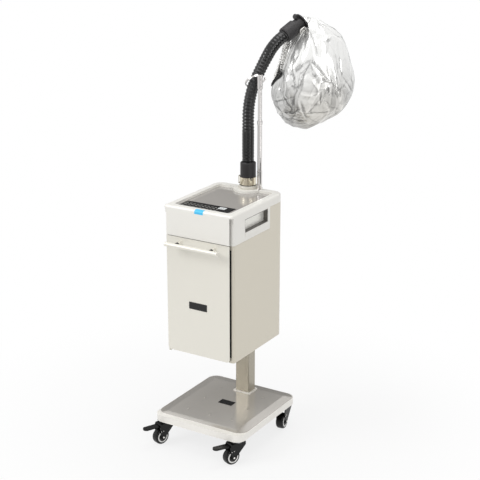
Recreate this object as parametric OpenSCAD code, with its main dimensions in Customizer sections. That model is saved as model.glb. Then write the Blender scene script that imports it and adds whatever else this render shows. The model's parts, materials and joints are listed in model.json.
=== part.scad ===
// Hair steamer on a rolling stand: cabinet, boiler, flexible steam hose and soft hood.
// Origin on the floor under the centre of the base, front towards -Y, up is +Z.

/* [Base] */
// Width of the base tray
base_w = 320; // [290:1:380]
// Depth of the base tray
base_d = 350; // [330:1:400]
// Corner radius of the base tray
base_r = 30; // [15:1:40]
// Height of the wall of the base tray
base_wall = 26; // [20:1:34]
// Sheet thickness of the base tray
base_t = 2; // [1.5:0.1:2.6]
// Width of the sloped band round the flat top
bevel_w = 30; // [15:1:40]
// Drop of the sloped band from the flat top to the wall
bevel_drop = 4; // [1:0.5:8]
// Thickness of the steel plate that carries the casters
plate_t = 3; // [2:0.5:5]
// Radius of a base screw
base_screw_r = 2; // [1.5:0.1:3]
// Half spacing of the base screws from side to side
base_screw_x = 80; // [60:1:100]
// Half spacing of the base screws from front to back
base_screw_y = 95; // [80:1:110]

/* [Casters] */
// Radius of a caster wheel
wheel_r = 25.5; // [20:0.5:30]
// Width of a caster wheel
wheel_w = 24; // [18:0.5:26]
// Radius of the wheel's light hub
hub_r = 15; // [11:0.5:17]
// Radius of the wheel axle
axle_r = 3; // [2:0.1:4]
// Distance from the swivel axis to the axle
trail = 22; // [18:1:32]
// Height of a caster from the floor to its mounting face
caster_h = 78; // [74:1:95]
// Distance of the swivel axis from the side of the base
caster_inset_x = 28; // [26:1:45]
// Distance of the swivel axis from the front or the back of the base
caster_inset_y = 28; // [26:1:45]
// Side of the square mounting plate
mount_w = 42; // [38:1:46]
// Radius of the kingpin
kingpin_r = 4; // [3:0.1:6]
// Thickness of a fork cheek
cheek_t = 3; // [2:0.5:4]
// Length of the brake pedal from the swivel axis to its tip
pedal_l = 88; // [78:1:96]
// Width of the brake pedal
pedal_w = 21; // [14:1:22]

/* [Column] */
// Width of the column tube
col_w = 50; // [40:1:60]
// Depth of the column tube
col_d = 40; // [30:1:50]
// Wall of the column tube
col_t = 2; // [1.5:0.1:3]
// Distance of the column behind the centre of the base
col_y = 120; // [110:1:122]
// Length of the column above the cabinet floor
col_in = 72; // [50:1:90]
// Thickness of the collar plate round the foot of the column
foot_t = 3; // [2:0.5:6]

/* [Cabinet] */
// Width of the cabinet
cab_w = 240; // [225:1:280]
// Depth of the side shell
cab_d = 296; // [285:1:330]
// Height of the cabinet
cab_h = 465; // [455:1:520]
// Height of the cabinet's underside above the floor
cab_z = 323; // [300:1:360]
// Distance of the cabinet's rear face behind the centre of the base
cab_rear = 151; // [148:1:160]
// Sheet thickness of the side shell
shell_t = 2; // [1.2:0.1:2.5]
// Radius of the front vertical corners
front_r = 8; // [5:0.5:12]
// Radius of the rear vertical corners
rear_r = 30; // [20:1:34]
// Width of the flange that turns in at each side of the front
front_flange = 16; // [12:0.5:20]
// Distance that the front panels stand proud of the shell
proud = 10; // [8:0.5:14]
// Height of the upper shell's front band
band_h = 91; // [85:1:110]
// Height of the rim
rim_h = 26; // [22:1:30]
// Wall of the moulded upper shell
upper_t = 2.5; // [2:0.1:3]
// Radius of the rim's upper edge
rim_round = 7; // [3:0.5:8]
// Width of the rim's side borders
rim_side = 22; // [18:0.5:26]
// Width of the rim's front border
rim_front = 24; // [18:0.5:28]
// Width of the rim's rear border
rim_back = 29; // [24:0.5:34]
// Depth of the recess in the top
tray_deep = 7.5; // [5:0.5:9]
// Radius of the step round the steam outlet
step_r = 46; // [40:0.5:50]
// Thickness of the tray panel
tray_t = 2; // [1.5:0.1:3]

/* [Handle pockets] */
// Length of the pocket opening
pocket_l = 132; // [110:1:140]
// Height of the pocket opening
pocket_h = 41; // [34:1:44]
// Depth of the pocket
pocket_deep = 14; // [10:0.5:20]
// Distance from the shell's front to the pocket
pocket_front = 64; // [50:1:70]
// Width of the lip round the pocket
lip_w = 12; // [6:0.5:13]

/* [Controls] */
// Length of the control strip
strip_l = 172; // [140:1:180]
// Depth of the control strip
strip_d = 65; // [50:1:75]
// Thickness of the control strip
strip_t = 1; // [0.6:0.1:1.6]
// Width of the display window
display_w = 24; // [16:1:36]
// Depth of the display window
display_d = 18; // [12:1:24]

/* [Door] */
// Thickness of the door skin
skin_t = 2; // [1.2:0.1:2.5]
// Gap round the door
door_gap = 2; // [1.5:0.1:3]
// Radius of the door's lower corners
door_r = 10; // [4:0.5:14]
// Radius of the hinge pins
hinge_pin_r = 1.5; // [1.2:0.1:1.7]
// Radius of the bar handle
bar_r = 6.5; // [5:0.5:9]
// Length of the bar handle
bar_l = 184; // [140:1:200]
// Distance from the door to the middle of the bar
bar_out = 35; // [28:1:45]
// Distance from the door's top edge down to the bar
bar_down = 16; // [10:1:30]
// Distance between the bar's posts
post_span = 120; // [80:1:140]
// Radius of a post
post_r = 4; // [3:0.5:5]
// Width of the bare plate on the door
badge_w = 63; // [40:1:80]
// Height of the bare plate on the door
badge_h = 22; // [14:1:30]

/* [Steam outlet] */
// Distance of the outlet behind the centre of the base
outlet_y = 134; // [130:0.5:138]
// Radius of the outlet flange
flange_r = 30; // [28:0.5:31]
// Height of the outlet flange
flange_h = 10; // [6:0.5:14]
// Radius of the nickel collar
collar_r = 25.5; // [24.5:0.1:26.5]
// Height of the nickel collar
collar_h = 26; // [20:1:34]
// Radius of the lower cuff above the collar
cuff_r = 24.3; // [23.5:0.1:25]
// Length of the lower cuff that shows
cuff_h = 46; // [36:1:56]

/* [Pole] */
// Distance of the pole to the right of the outlet
pole_x = 44; // [43:0.5:48]
// Distance of the pole behind the centre of the base
pole_y = 130; // [128:0.5:132]
// Outer radius of the lower tube
pole_r = 7; // [6.6:0.1:8]
// Outer radius of the upper tube
inner_pole_r = 6; // [5:0.1:6.2]
// Wall of the upper tube
pole_t = 1; // [0.8:0.1:1.5]
// Length of the lower tube above the rim
lower_pole_l = 217; // [200:1:240]
// Length of the upper tube that shows
upper_pole_l = 143; // [130:1:150]
// Outer radius of the sleeve at the top
sleeve_r = 8.2; // [7.5:0.1:9]
// Length of the sleeve
sleeve_l = 42; // [34:1:50]

/* [Hose and hood] */
// Outer radius of the hose at its ribs
hose_r = 18.7; // [17:0.1:18.9]
// Height of a rib
rib_h = 2; // [1:0.1:2.6]
// Radius of the hose's bore
hose_bore = 15; // [12:0.1:15.4]
// Number of ribs
ribs = 46; // [30:1:60]
// Direction in which the hose leans, from +X towards +Y
lean_dir = 65; // [55:1:80]
// Outer radius of the upper cuff
top_cuff_r = 24; // [23:0.1:26]
// Length of the upper cuff
top_cuff_l = 44; // [40:1:48]
// Outer radius of the hood neck
neck_r = 19.5; // [18.5:0.1:21]
// Length of the hood neck up to its flange
neck_l = 26; // [20:1:34]
// Radius of the neck's flange
neck_flange_r = 27; // [24:0.5:30]
// Height of the hood bag
hood_h = 348; // [320:1:380]
// Half width of the hood bag at mid height
hood_r = 120; // [100:1:130]
// Thickness of the hood bag's cloth solid
hood_t = 3; // [2:0.5:5]

/* [Water and steam] */
// Width of the water tank
tank_w = 150; // [120:1:160]
// Depth of the water tank
tank_d = 140; // [110:1:150]
// Height of the water tank
tank_h = 174; // [150:1:185]
// Wall of the water tank
tank_t = 2.5; // [1.5:0.1:4]
// Radius of the boiler
boiler_r = 46; // [38:0.5:48]
// Height of the boiler
boiler_h = 100; // [80:1:104]
// Height of the boiler shelf above the cabinet floor
shelf_up = 230; // [222:1:234]
// Side of the square vent fan
fan_w = 80; // [60:1:80]
// Thickness of the vent fan
fan_t = 25; // [20:1:25]

/* [Hidden] */
$fn = 64;

// Small clearances: between soft or curved neighbours, and round a turning shaft
gap = 0.3;
run_gap = 0.05;

base_top = caster_h + base_wall;
wheel_z = wheel_r;
caster_x = base_w / 2 - caster_inset_x;
caster_y = base_d / 2 - caster_inset_y;
// Each caster: name, side, end and the direction of its trail
casters = [["front_left", -1, -1, 252], ["front_right", 1, -1, 246],
           ["rear_left", -1, 1, 230], ["rear_right", 1, 1, 278]];

cab_front = cab_rear - cab_d;
face_y = cab_front - proud;
cab_top = cab_z + cab_h;
split_z = cab_top - band_h;
side_split_z = split_z - 3;
rim_z = cab_top - rim_h;
pocket_back = cab_front + pocket_front + pocket_l;
band_end = pocket_back + lip_w + 2;
tray_z = cab_top - tray_deep;
floor_t = 2.5;
floor_top = cab_z + floor_t;
open_x = cab_w / 2 - front_flange;
panel_x = cab_w / 2 - front_r - 1.5;

// Body of a tray or rim outline with two corner radii, drawn in from the cabinet's outline
module cabinet_outline(inset, front) {
  fr = front_r - min(inset, front_r - 1);
  rr = rear_r - inset;
  hw = cab_w / 2 - inset;
  y0 = front + inset;
  y1 = cab_rear - inset;
  translate([-hw, y0 + fr]) square([2 * hw, y1 - y0 - fr - rr]);
  translate([-hw + fr, y0]) square([2 * (hw - fr), y1 - y0 - rr]);
  translate([-hw + rr, y0 + fr]) square([2 * (hw - rr), y1 - y0 - fr]);
  for (s = [-1, 1]) {
    translate([s * (hw - fr), y0 + fr]) circle(fr);
    translate([s * (hw - rr), y1 - rr]) circle(rr);
  }
}

module rounded_rect(w, d, r) {
  translate([-w / 2 + r, -d / 2]) square([w - 2 * r, d]);
  translate([-w / 2, -d / 2 + r]) square([w, d - 2 * r]);
  for (sx = [-1, 1], sy = [-1, 1])
    translate([sx * (w / 2 - r), sy * (d / 2 - r)]) circle(r);
}

module slab(w, d, h, r) {
  linear_extrude(h) rounded_rect(w, d, r);
}

module tube(r_out, r_in, h) {
  linear_extrude(h) difference() {
    circle(r_out);
    circle(r_in);
  }
}

module box(x0, x1, y0, y1, z0, z1) {
  translate([x0, y0, z0]) cube([x1 - x0, y1 - y0, z1 - z0]);
}

// Box on the left or the right side, between two distances from the middle
module side_box(s, a, b, y0, y1, z0, z1) {
  box(s > 0 ? a : -b, s > 0 ? b : -a, y0, y1, z0, z1);
}

module caster_place(c) {
  translate([c[1] * caster_x, c[2] * caster_y, 0]) rotate(c[3]) children();
}

// Base: tray, plate, spacers, screws and a bare plate on top
screw_spots = [for (x = [-1, 0, 1], y = [-1, 0, 1])
               if (!(x == 0 && y > -1)) [x * base_screw_x, y * base_screw_y]];
screw_head_r = base_screw_r * 2;
screw_head_h = 1.4;

module base_form(w, d, r, z0, z1, drop, band) {
  translate([0, 0, z0]) slab(w, d, z1 - drop - z0, r);
  hull() {
    translate([0, 0, z1 - drop - 0.1]) slab(w, d, 0.1, r, $fn = 32);
    translate([0, 0, z1 - 0.1]) slab(w - 2 * band, d - 2 * band, 0.1, max(r - band / 2, 6), $fn = 32);
  }
}

module column_hole(z0, z1) {
  box(-col_w / 2 - gap, col_w / 2 + gap, col_y - col_d / 2 - gap, col_y + col_d / 2 + gap, z0, z1);
}

module base_tray() {
  color("#9C9892") difference() {
    base_form(base_w, base_d, base_r, caster_h, base_top, bevel_drop, bevel_w);
    base_form(base_w - 2 * base_t, base_d - 2 * base_t, base_r - base_t,
              caster_h - 1, base_top - base_t, bevel_drop, bevel_w);
    for (p = screw_spots) translate([p[0], p[1], caster_h]) cylinder(r = base_screw_r + 0.1, h = base_wall + 1);
    column_hole(caster_h, base_top + 1);
  }
}

module base_plate() {
  color("#3A3A3C") difference() {
    union() {
      translate([0, 0, caster_h]) slab(base_w - 2 * base_t, base_d - 2 * base_t, plate_t, base_r - base_t);
      for (p = screw_spots)
        translate([p[0], p[1], caster_h]) cylinder(r = base_screw_r + 3, h = base_wall - base_t);
    }
    for (p = screw_spots)
      translate([p[0], p[1], caster_h - 1]) cylinder(r = base_screw_r + 0.1, h = base_wall + 2);
  }
}

module base_screws() {
  color("#C9C7C2") for (p = screw_spots) translate([p[0], p[1], 0]) {
    translate([0, 0, caster_h + 0.5]) cylinder(r = base_screw_r, h = base_wall - 0.5);
    translate([0, 0, base_top]) cylinder(r1 = screw_head_r, r2 = screw_head_r * 0.7, h = screw_head_h);
  }
}

base_badge_w = 50;
base_badge_d = 28;

module base_badge() {
  color("#1B1A19") translate([0, 5, base_top]) slab(base_badge_w, base_badge_d, 1.2, 2);
}

// Column with its collar plate, and the bracket and bolts that hold the cabinet on it
col_top = floor_top + col_in;
bolt_r = 3;
bolt_z = floor_top + col_in - 22;
bracket_t = 4;
bracket_h = col_in - 8;

module column() {
  color("#A39C8F") difference() {
    translate([0, col_y, caster_h + plate_t])
      slab(col_w, col_d, col_top - caster_h - plate_t, 3);
    translate([0, col_y, caster_h + plate_t - 1])
      slab(col_w - 2 * col_t, col_d - 2 * col_t, col_top, 1.5);
    translate([-cab_w / 2, col_y, bolt_z]) rotate([0, 90, 0]) cylinder(r = bolt_r + 0.1, h = cab_w);
  }
}

module column_foot() {
  color("#D8D3C6") difference() {
    translate([0, col_y, base_top]) slab(col_w + 12, col_d + 12, foot_t, 3);
    column_hole(base_top - 1, base_top + foot_t + 1);
  }
}

module column_bracket() {
  color("#8A8A8C") difference() {
    union() {
      translate([0, col_y, floor_top])
        slab(col_w + 2 * bracket_t, min(col_d + 2 * bracket_t, 2 * (cab_rear - shell_t - gap - col_y)), bracket_h, 2);
      box(-col_w / 2 - 24, col_w / 2 + 24, col_y - col_d / 2 - 12, col_y + col_d / 2 - 2, floor_top, floor_top + 3);
    }
    column_hole(floor_top - 1, floor_top + bracket_h + 1);
    translate([-cab_w / 2, col_y, bolt_z]) rotate([0, 90, 0]) cylinder(r = bolt_r + 0.1, h = cab_w);
  }
  half = col_w / 2 + bracket_t;
  color("#8A8A8C") translate([0, col_y, bolt_z]) rotate([0, 90, 0]) {
    translate([0, 0, -half]) cylinder(r = bolt_r, h = 2 * half);
    translate([0, 0, half]) cylinder(r = bolt_r * 1.8, h = 4, $fn = 6);
    translate([0, 0, -half - 4]) cylinder(r = bolt_r * 1.8, h = 4, $fn = 6);
  }
}

// Casters: a plate with a kingpin, a swivelling fork, an axle, a wheel and a brake pedal
mount_t = 2.5;
race_h = 5;
fork_top = caster_h - mount_t - race_h - gap;
fork_cap_h = 8;
fork_cap_r = 17;
fork_w = wheel_w + 2 * cheek_t + 2;
kingpin_end = fork_top - fork_cap_h - 2;
pedal_pin_r = 1.5;
pedal_pivot_x = trail + 8;
pedal_z = fork_top - 8;
pedal_t = 5.5;

module caster_mounts() {
  color("#2A2A2B") for (c = casters) caster_place(c) {
    translate([0, 0, caster_h - mount_t]) rotate(-c[3]) slab(mount_w, mount_w, mount_t, 6);
    translate([0, 0, fork_top + gap]) cylinder(r = fork_cap_r, h = race_h);
    translate([0, 0, kingpin_end]) cylinder(r = kingpin_r, h = fork_top - kingpin_end + 1);
    translate([0, 0, kingpin_end - 2]) cylinder(r = kingpin_r + 1.2, h = 2);
  }
}

// Side view of a fork cheek: from the cap down to the boss round the axle
module cheek_profile() {
  polygon([[-fork_cap_r - 5, fork_top], [trail + 7, fork_top], [trail + 12, fork_top - 9],
           [trail + 8.4, wheel_z + 1], [trail - 8.4, wheel_z - 1], [-fork_cap_r - 5, fork_top - 10]]);
  translate([trail, wheel_z]) circle(8.5);
}

module fork(c) {
  color("#232323") caster_place(c) difference() {
    union() {
      intersection() {
        translate([0, fork_w / 2, 0]) rotate([90, 0, 0]) linear_extrude(fork_w) cheek_profile();
        union() {
          for (s = [-1, 1]) translate([-60, s * (fork_w - cheek_t) / 2 - cheek_t / 2, 0]) cube([140, cheek_t, 120]);
          translate([-60, -fork_w / 2, fork_top - 4]) cube([140, fork_w, 4]);
        }
      }
      translate([0, 0, fork_top - fork_cap_h]) cylinder(r = fork_cap_r, h = fork_cap_h);
      translate([trail, fork_w / 2 + 1.6, wheel_z]) rotate([90, 0, 0]) cylinder(r = 4.2, h = 1.6);
      translate([trail, -fork_w / 2, wheel_z]) rotate([90, 0, 0]) cylinder(r = 4.2, h = 1.6);
      translate([trail, fork_w / 2, wheel_z]) rotate([90, 0, 0]) cylinder(r = axle_r, h = fork_w);
    }
    translate([trail, (wheel_w + 2) / 2, wheel_z]) rotate([90, 0, 0])
      tube(wheel_r + 1.5, axle_r, wheel_w + 2);
    translate([0, 0, fork_top - fork_cap_h - 1]) cylinder(r = kingpin_r + run_gap, h = fork_cap_h + 2);
    translate([0, 0, kingpin_end - 4]) cylinder(r = kingpin_r + 2, h = fork_top - fork_cap_h - kingpin_end + 4);
    if (c[2] < 0) pedal_clearance();
  }
}

// Room for the brake pedal and the hole for its pin, through both cheeks
module pedal_clearance() {
  translate([pedal_pivot_x - 6, -(pedal_w / 2 + 0.6), fork_top - 14]) cube([pedal_l, pedal_w + 1.2, 10.5]);
  translate([pedal_pivot_x, fork_w, pedal_z]) rotate([90, 0, 0]) cylinder(r = pedal_pin_r + run_gap, h = 2 * fork_w);
}

module hub(c) {
  color("#C4C2BE") caster_place(c) translate([trail, wheel_w / 2, wheel_z]) rotate([90, 0, 0]) difference() {
    union() {
      translate([0, 0, 1]) cylinder(r = hub_r, h = wheel_w - 2);
      cylinder(r = hub_r - 5, h = wheel_w);
    }
    translate([0, 0, -1]) cylinder(r = axle_r + run_gap, h = wheel_w + 2);
  }
}

module tyre(c) {
  color("#1C1C1C") caster_place(c) translate([trail, 0, wheel_z]) rotate([90, 0, 0])
    rotate_extrude() polygon([[hub_r, -wheel_w / 2], [wheel_r - 3, -wheel_w / 2], [wheel_r - 0.8, -wheel_w / 2 + 2.4],
      [wheel_r, -wheel_w / 4], [wheel_r, wheel_w / 4], [wheel_r - 0.8, wheel_w / 2 - 2.4],
      [wheel_r - 3, wheel_w / 2], [hub_r, wheel_w / 2]]);
}

module pedal(c) {
  tip_r = pedal_w / 2;
  color("#262627") caster_place(c) {
    translate([pedal_pivot_x, 0, pedal_z]) {
      translate([-4, 1 - pedal_w / 2, -2.2]) cube([12, pedal_w - 2, 4.4]);
      translate([4, -pedal_w / 2, -1.5]) rotate([0, -4, 0]) linear_extrude(pedal_t) {
        square([pedal_l - pedal_pivot_x - 4 - tip_r, pedal_w]);
        translate([pedal_l - pedal_pivot_x - 4 - tip_r, tip_r]) circle(tip_r);
      }
      rotate([90, 0, 0]) translate([0, 0, -fork_w / 2]) cylinder(r = pedal_pin_r, h = fork_w);
    }
  }
}

// Cabinet: floor, side shell, back panel
back_open_x = cab_w / 2 - rear_r - 4;
back_panel_z0 = cab_z + 14;
back_panel_z1 = rim_z - 6;

module cabinet_floor() {
  color("#B9B4A8") difference() {
    translate([0, 0, cab_z]) linear_extrude(floor_t) cabinet_outline(shell_t + gap, cab_front);
    column_hole(cab_z - 1, floor_top + 1);
  }
}

// Wall ring of the cabinet's outline, open at the front
module wall_ring(t) {
  difference() {
    cabinet_outline(0, cab_front);
    cabinet_outline(t, cab_front);
    translate([-open_x, cab_front - 1]) square([2 * open_x, 40]);
  }
}

module side_shell() {
  seam = 0.4;
  color("#CFC9BC") difference() {
    translate([0, 0, cab_z]) linear_extrude(rim_z - seam - cab_z) wall_ring(shell_t);
    box(-cab_w, cab_w, cab_front - 1, band_end + seam, side_split_z - seam, cab_top);
    box(-back_open_x, back_open_x, cab_rear - 20, cab_rear + 1, back_panel_z0, back_panel_z1);
    for (s = [-1, 1], z = back_screw_z)
      translate([s * (back_open_x + 5), cab_rear - 10, z]) rotate([-90, 0, 0]) cylinder(r = 1.6, h = 20);
  }
}

back_screw_z = [back_panel_z0 + 14, (back_panel_z0 + back_panel_z1) / 2, back_panel_z1 - 14];
inlet_x = 46;
inlet_w = 28;
inlet_h = 21;
inlet_z = back_panel_z0 + 26;
switch_x = -46;
switch_w = 21;
switch_h = 28;
fan_z = bolt_z + 30 + fan_w / 2;
vent_slots = 7;

module back_panel() {
  color("#C9C3B6") difference() {
    box(-back_open_x - 9, back_open_x + 9, cab_rear, cab_rear + 1.5, back_panel_z0 - 8, back_panel_z1 + 5);
    for (s = [-1, 1], z = back_screw_z)
      translate([s * (back_open_x + 5), cab_rear - 1, z]) rotate([-90, 0, 0]) cylinder(r = 1.6, h = 4);
    for (i = [0 : vent_slots - 1]) let (z = fan_z + (i - (vent_slots - 1) / 2) * 9)
      box(-fan_w * 0.36, fan_w * 0.36, cab_rear - 1, cab_rear + 3, z - 2.2, z + 2.2);
    box(inlet_x - inlet_w / 2 - 0.2, inlet_x + inlet_w / 2 + 0.2, cab_rear - 1, cab_rear + 3,
        inlet_z - inlet_h / 2 - 0.2, inlet_z + inlet_h / 2 + 0.2);
    box(switch_x - switch_w / 2 - 0.2, switch_x + switch_w / 2 + 0.2, cab_rear - 1, cab_rear + 3,
        inlet_z - switch_h / 2 - 0.2, inlet_z + switch_h / 2 + 0.2);
  }
}

module back_screws() {
  color("#C9C7C2") for (s = [-1, 1], z = back_screw_z)
    translate([s * (back_open_x + 5), cab_rear + 1.5, z]) rotate([-90, 0, 0]) {
      cylinder(r1 = 3.4, r2 = 2.4, h = 1.6);
      translate([0, 0, -8]) cylinder(r = 1.5, h = 8);
    }
}

// Upper shell: rounded rim, fascia, side bands with handle pockets, and the step round the outlet
recess_x = cab_w / 2 - rim_side;
recess_y0 = face_y + rim_front;
recess_y1 = cab_rear - rim_back;
ledge = 4;
outlet_bore = 12;
boss_r = flange_r + 3;
notch_z = cab_top - 8.5;

module recess_outline(inset) {
  difference() {
    translate([0, (recess_y0 + recess_y1) / 2])
      rounded_rect(2 * (recess_x - inset), recess_y1 - recess_y0 - 2 * inset, 12);
    translate([0, outlet_y]) circle(step_r + inset);
  }
}

// One thin slice of the rim's rounded edge, at an angle up the quarter circle
module rim_slice(angle) {
  in = rim_round * (1 - cos(angle));
  translate([0, 0, cab_top - rim_round * (1 - sin(angle)) - 0.05])
    linear_extrude(0.05) cabinet_outline(in, face_y, $fn = 32);
}

module pocket_cut(grow) {
  for (s = [-1, 1])
    translate([s > 0 ? cab_w / 2 - pocket_deep - 3 : -cab_w / 2 - 5,
               cab_front + pocket_front - grow, side_split_z + 25 - grow])
      cube([pocket_deep + 8, pocket_l + 2 * grow, pocket_h + 2 * grow]);
}

module upper_shell() {
  color("#ECEAE4") difference() {
    union() {
      difference() {
        union() {
          hull() {
            translate([0, 0, rim_z]) linear_extrude(0.05) cabinet_outline(0, face_y, $fn = 32);
            for (a = [0, 22, 45, 68, 90]) rim_slice(a);
          }
          translate([0, outlet_y, rim_z]) cylinder(r = boss_r, h = rim_h - 1);
        }
        translate([0, 0, rim_z - 1]) linear_extrude(rim_h - 2) difference() {
          cabinet_outline(upper_t + 0.5, cab_front);
          recess_outline(-upper_t);
          translate([0, outlet_y]) circle(outlet_bore + 7);
          translate([pole_x, pole_y]) circle(pole_r + 3);
        }
        translate([0, 0, tray_z - tray_t]) linear_extrude(rim_h) recess_outline(0);
        translate([0, 0, rim_z - 1]) linear_extrude(rim_h) recess_outline(ledge);
        for (s = [-1, 1]) {
          side_box(s, panel_x, cab_w, face_y - 1, cab_front, rim_z - 1, notch_z);
          side_box(s, open_x, cab_w, face_y + upper_t, cab_front, rim_z - 1, notch_z);
        }
      }
      box(-panel_x, panel_x, face_y, face_y + upper_t, split_z, rim_z + 4);
      translate([0, 0, side_split_z]) linear_extrude(notch_z + 1 - side_split_z) intersection() {
        wall_ring(upper_t);
        translate([-cab_w, cab_front - 1]) square([2 * cab_w, band_end - cab_front + 1]);
      }
      pocket_lips();
    }
    pocket_cut(0);
    translate([0, outlet_y, rim_z - 2]) cylinder(r = outlet_bore + 2, h = rim_h + 4);
    translate([pole_x, pole_y, rim_z - 2]) cylinder(r = pole_r + 0.05, h = rim_h + 4);
  }
}

module pocket_lips() {
  z0 = side_split_z + 25;
  y0 = cab_front + pocket_front;
  for (s = [-1, 1]) intersection() {
    box(s > 0 ? cab_w / 2 - 1 : -cab_w / 2 - 1.2, s > 0 ? cab_w / 2 + 1.2 : -cab_w / 2 + 1,
        y0 - 2, pocket_back + lip_w, z0 - lip_w - 2, rim_z - 1);
    union() {
      box(-cab_w, cab_w, y0, pocket_back + lip_w, z0 - lip_w, z0 + 1);
      box(-cab_w, cab_w, pocket_back - 1, pocket_back + lip_w, z0 - lip_w, rim_z - 1);
    }
  }
}

module fascia_backing() {
  color("#24221F") {
    difference() {
      box(-panel_x + 3.5, panel_x - 3.5, face_y + upper_t, cab_front, split_z, rim_z);
      box(-panel_x + 12, panel_x - 12, face_y, cab_front + 1, split_z + 9, rim_z - 6);
      box(-cab_w, hinge_x + 4.3, face_y, cab_front + 1, split_z - 1, split_z + 3.2);
    }
    for (s = [-1, 1]) side_box(s, open_x, panel_x - 3.5, face_y + upper_t, cab_front, rim_z - 1, notch_z);
  }
}

module top_tray() {
  color("#ADA9A5") difference() {
    translate([0, 0, tray_z - tray_t]) linear_extrude(tray_t) recess_outline(gap);
    box(strip_x0 - 0.1, strip_x0 + strip_l + 0.1, strip_y0 - 0.1, strip_y0 + strip_d + 0.1, strip_z, tray_z + 1);
  }
}

strip_x0 = -recess_x + 4;
strip_y0 = recess_y0 + 4;
strip_z = tray_z - 0.6;
display_x = strip_x0 + strip_l - 38;
display_y = strip_y0 + strip_d - 17;

module control_strip() {
  color("#1C1A18") difference() {
    box(strip_x0, strip_x0 + strip_l, strip_y0, strip_y0 + strip_d, strip_z, strip_z + strip_t);
    box(display_x - display_w / 2, display_x + display_w / 2, display_y - display_d / 2, display_y + display_d / 2,
        tray_z - 1, tray_z + strip_t + 1);
  }
}

module display_window() {
  color("#E9ECEC") box(display_x - display_w / 2 + 0.1, display_x + display_w / 2 - 0.1,
    display_y - display_d / 2 + 0.1, display_y + display_d / 2 - 0.1, strip_z, strip_z + strip_t + 0.3);
}

// Handle pockets: a dark liner with a pale plate at the back, one on each side
module pocket_box(s, depth0, depth1, grow) {
  x_out = cab_w / 2 - depth0;
  x_in = cab_w / 2 - depth1;
  box(s > 0 ? x_in : -x_out, s > 0 ? x_out : -x_in,
      cab_front + pocket_front + grow, pocket_back - grow, side_split_z + 25 + grow, side_split_z + 25 + pocket_h - grow);
}

module pocket_liners() {
  color("#4A4844") for (s = [-1, 1]) difference() {
    pocket_box(s, 0.6, pocket_deep + 2, gap);
    pocket_box(s, -1, pocket_deep + 3, gap + 1.5);
  }
}

module pocket_plates() {
  color("#E6E7E2") for (s = [-1, 1]) pocket_box(s, pocket_deep, pocket_deep + 2, gap + 1.6);
}

// Door: skin, liner, hinge blocks, bar handle and a bare plate
door_z0 = cab_z + 3.5;
door_z1 = split_z - door_gap;
hinge_x = -panel_x + 3;
hinge_y = face_y + skin_t + 2.6;
block_h = 10;
liner_x = panel_x - 3.5;
seal_y = cab_front - 0.9;

module door_skin() {
  color("#E7E5DF") translate([0, face_y + skin_t, 0]) rotate([90, 0, 0]) linear_extrude(skin_t) {
    translate([-panel_x + door_r, door_z0]) square([2 * (panel_x - door_r), door_z1 - door_z0]);
    translate([-panel_x, door_z0 + door_r]) square([2 * panel_x, door_z1 - door_z0 - door_r]);
    for (s = [-1, 1]) translate([s * (panel_x - door_r), door_z0 + door_r]) circle(door_r);
  }
}

module door_liner() {
  color("#2B2926") difference() {
    box(-liner_x, liner_x, face_y + skin_t, cab_front - 2, door_z0 + 2, door_z1 - 2);
    box(-liner_x + 14, liner_x - 14, face_y + skin_t + 2, cab_front, door_z0 + 16, door_z1 - 30);
    for (z = [door_z0, door_z1 - block_h - 0.2])
      box(-panel_x, hinge_x + 4.2, face_y, cab_front, z - 0.2, z + block_h + 0.4);
  }
}

module door_hinge_blocks() {
  color("#9A9894") for (top = [0, 1]) {
    z0 = top > 0 ? door_z1 - block_h : door_z0;
    difference() {
      box(hinge_x - 2.6, hinge_x + 4, face_y + skin_t, hinge_y + 2.6, z0, z0 + block_h);
      translate([hinge_x, hinge_y, z0 + (top > 0 ? 2 : -1)]) cylinder(r = hinge_pin_r + run_gap, h = block_h - 1);
    }
  }
}

module hinge_brackets() {
  color("#9A9894") {
    box(hinge_x - 3.5, hinge_x + 4, face_y + upper_t, cab_front, split_z, split_z + 3);
    translate([hinge_x, hinge_y, door_z1 - block_h + 3]) cylinder(r = hinge_pin_r, h = block_h + door_gap - 2);
    box(hinge_x - 3.5, hinge_x + 4, face_y + 2.3, cab_front + 14, cab_z - 2, cab_z);
    translate([hinge_x, hinge_y, cab_z - 2]) cylinder(r = hinge_pin_r, h = door_z0 - cab_z + block_h - 2);
  }
}

module door_seals() {
  color("#171615") for (s = [-1, 1])
    box(s > 0 ? open_x : -cab_w / 2 + front_r, s > 0 ? cab_w / 2 - front_r : -open_x,
        seal_y, cab_front, door_z0 + 14, door_z1 - 14);
}

bar_y = face_y - bar_out;
bar_z = door_z1 - bar_down;

module bar_handle() {
  color("#F1EFEA") {
    translate([-bar_l / 2, bar_y, bar_z]) rotate([0, 90, 0]) cylinder(r = bar_r, h = bar_l);
    for (s = [-1, 1]) translate([s * post_span / 2, face_y, bar_z]) rotate([90, 0, 0]) {
      cylinder(r = post_r, h = bar_out);
      cylinder(r = post_r + 2, h = 2);
    }
  }
}

module door_badge() {
  color("#1B1A19") translate([0, face_y, cab_z + cab_h * 0.35]) rotate([90, 0, 0])
    slab(badge_w, badge_h, 1.2, 1);
}

// Steam outlet: flange, nickel collar with its spring latch, and the cuff of the hose
collar_z = cab_top + flange_h;
cuff_z = collar_z + collar_h;
hose_z = cuff_z + cuff_h;

module outlet_flange() {
  color("#F0EFEB") translate([0, outlet_y, 0]) difference() {
    union() {
      translate([0, 0, cab_top]) cylinder(r = flange_r, h = flange_h * 0.45);
      translate([0, 0, cab_top + flange_h * 0.45]) cylinder(r1 = flange_r, r2 = flange_r - 3, h = flange_h * 0.55);
      translate([0, 0, rim_z - 4]) cylinder(r = outlet_bore + 1.7, h = rim_h + 5);
    }
    translate([0, 0, rim_z - 5]) cylinder(r = outlet_bore, h = rim_h + flange_h + 8);
  }
}

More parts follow.
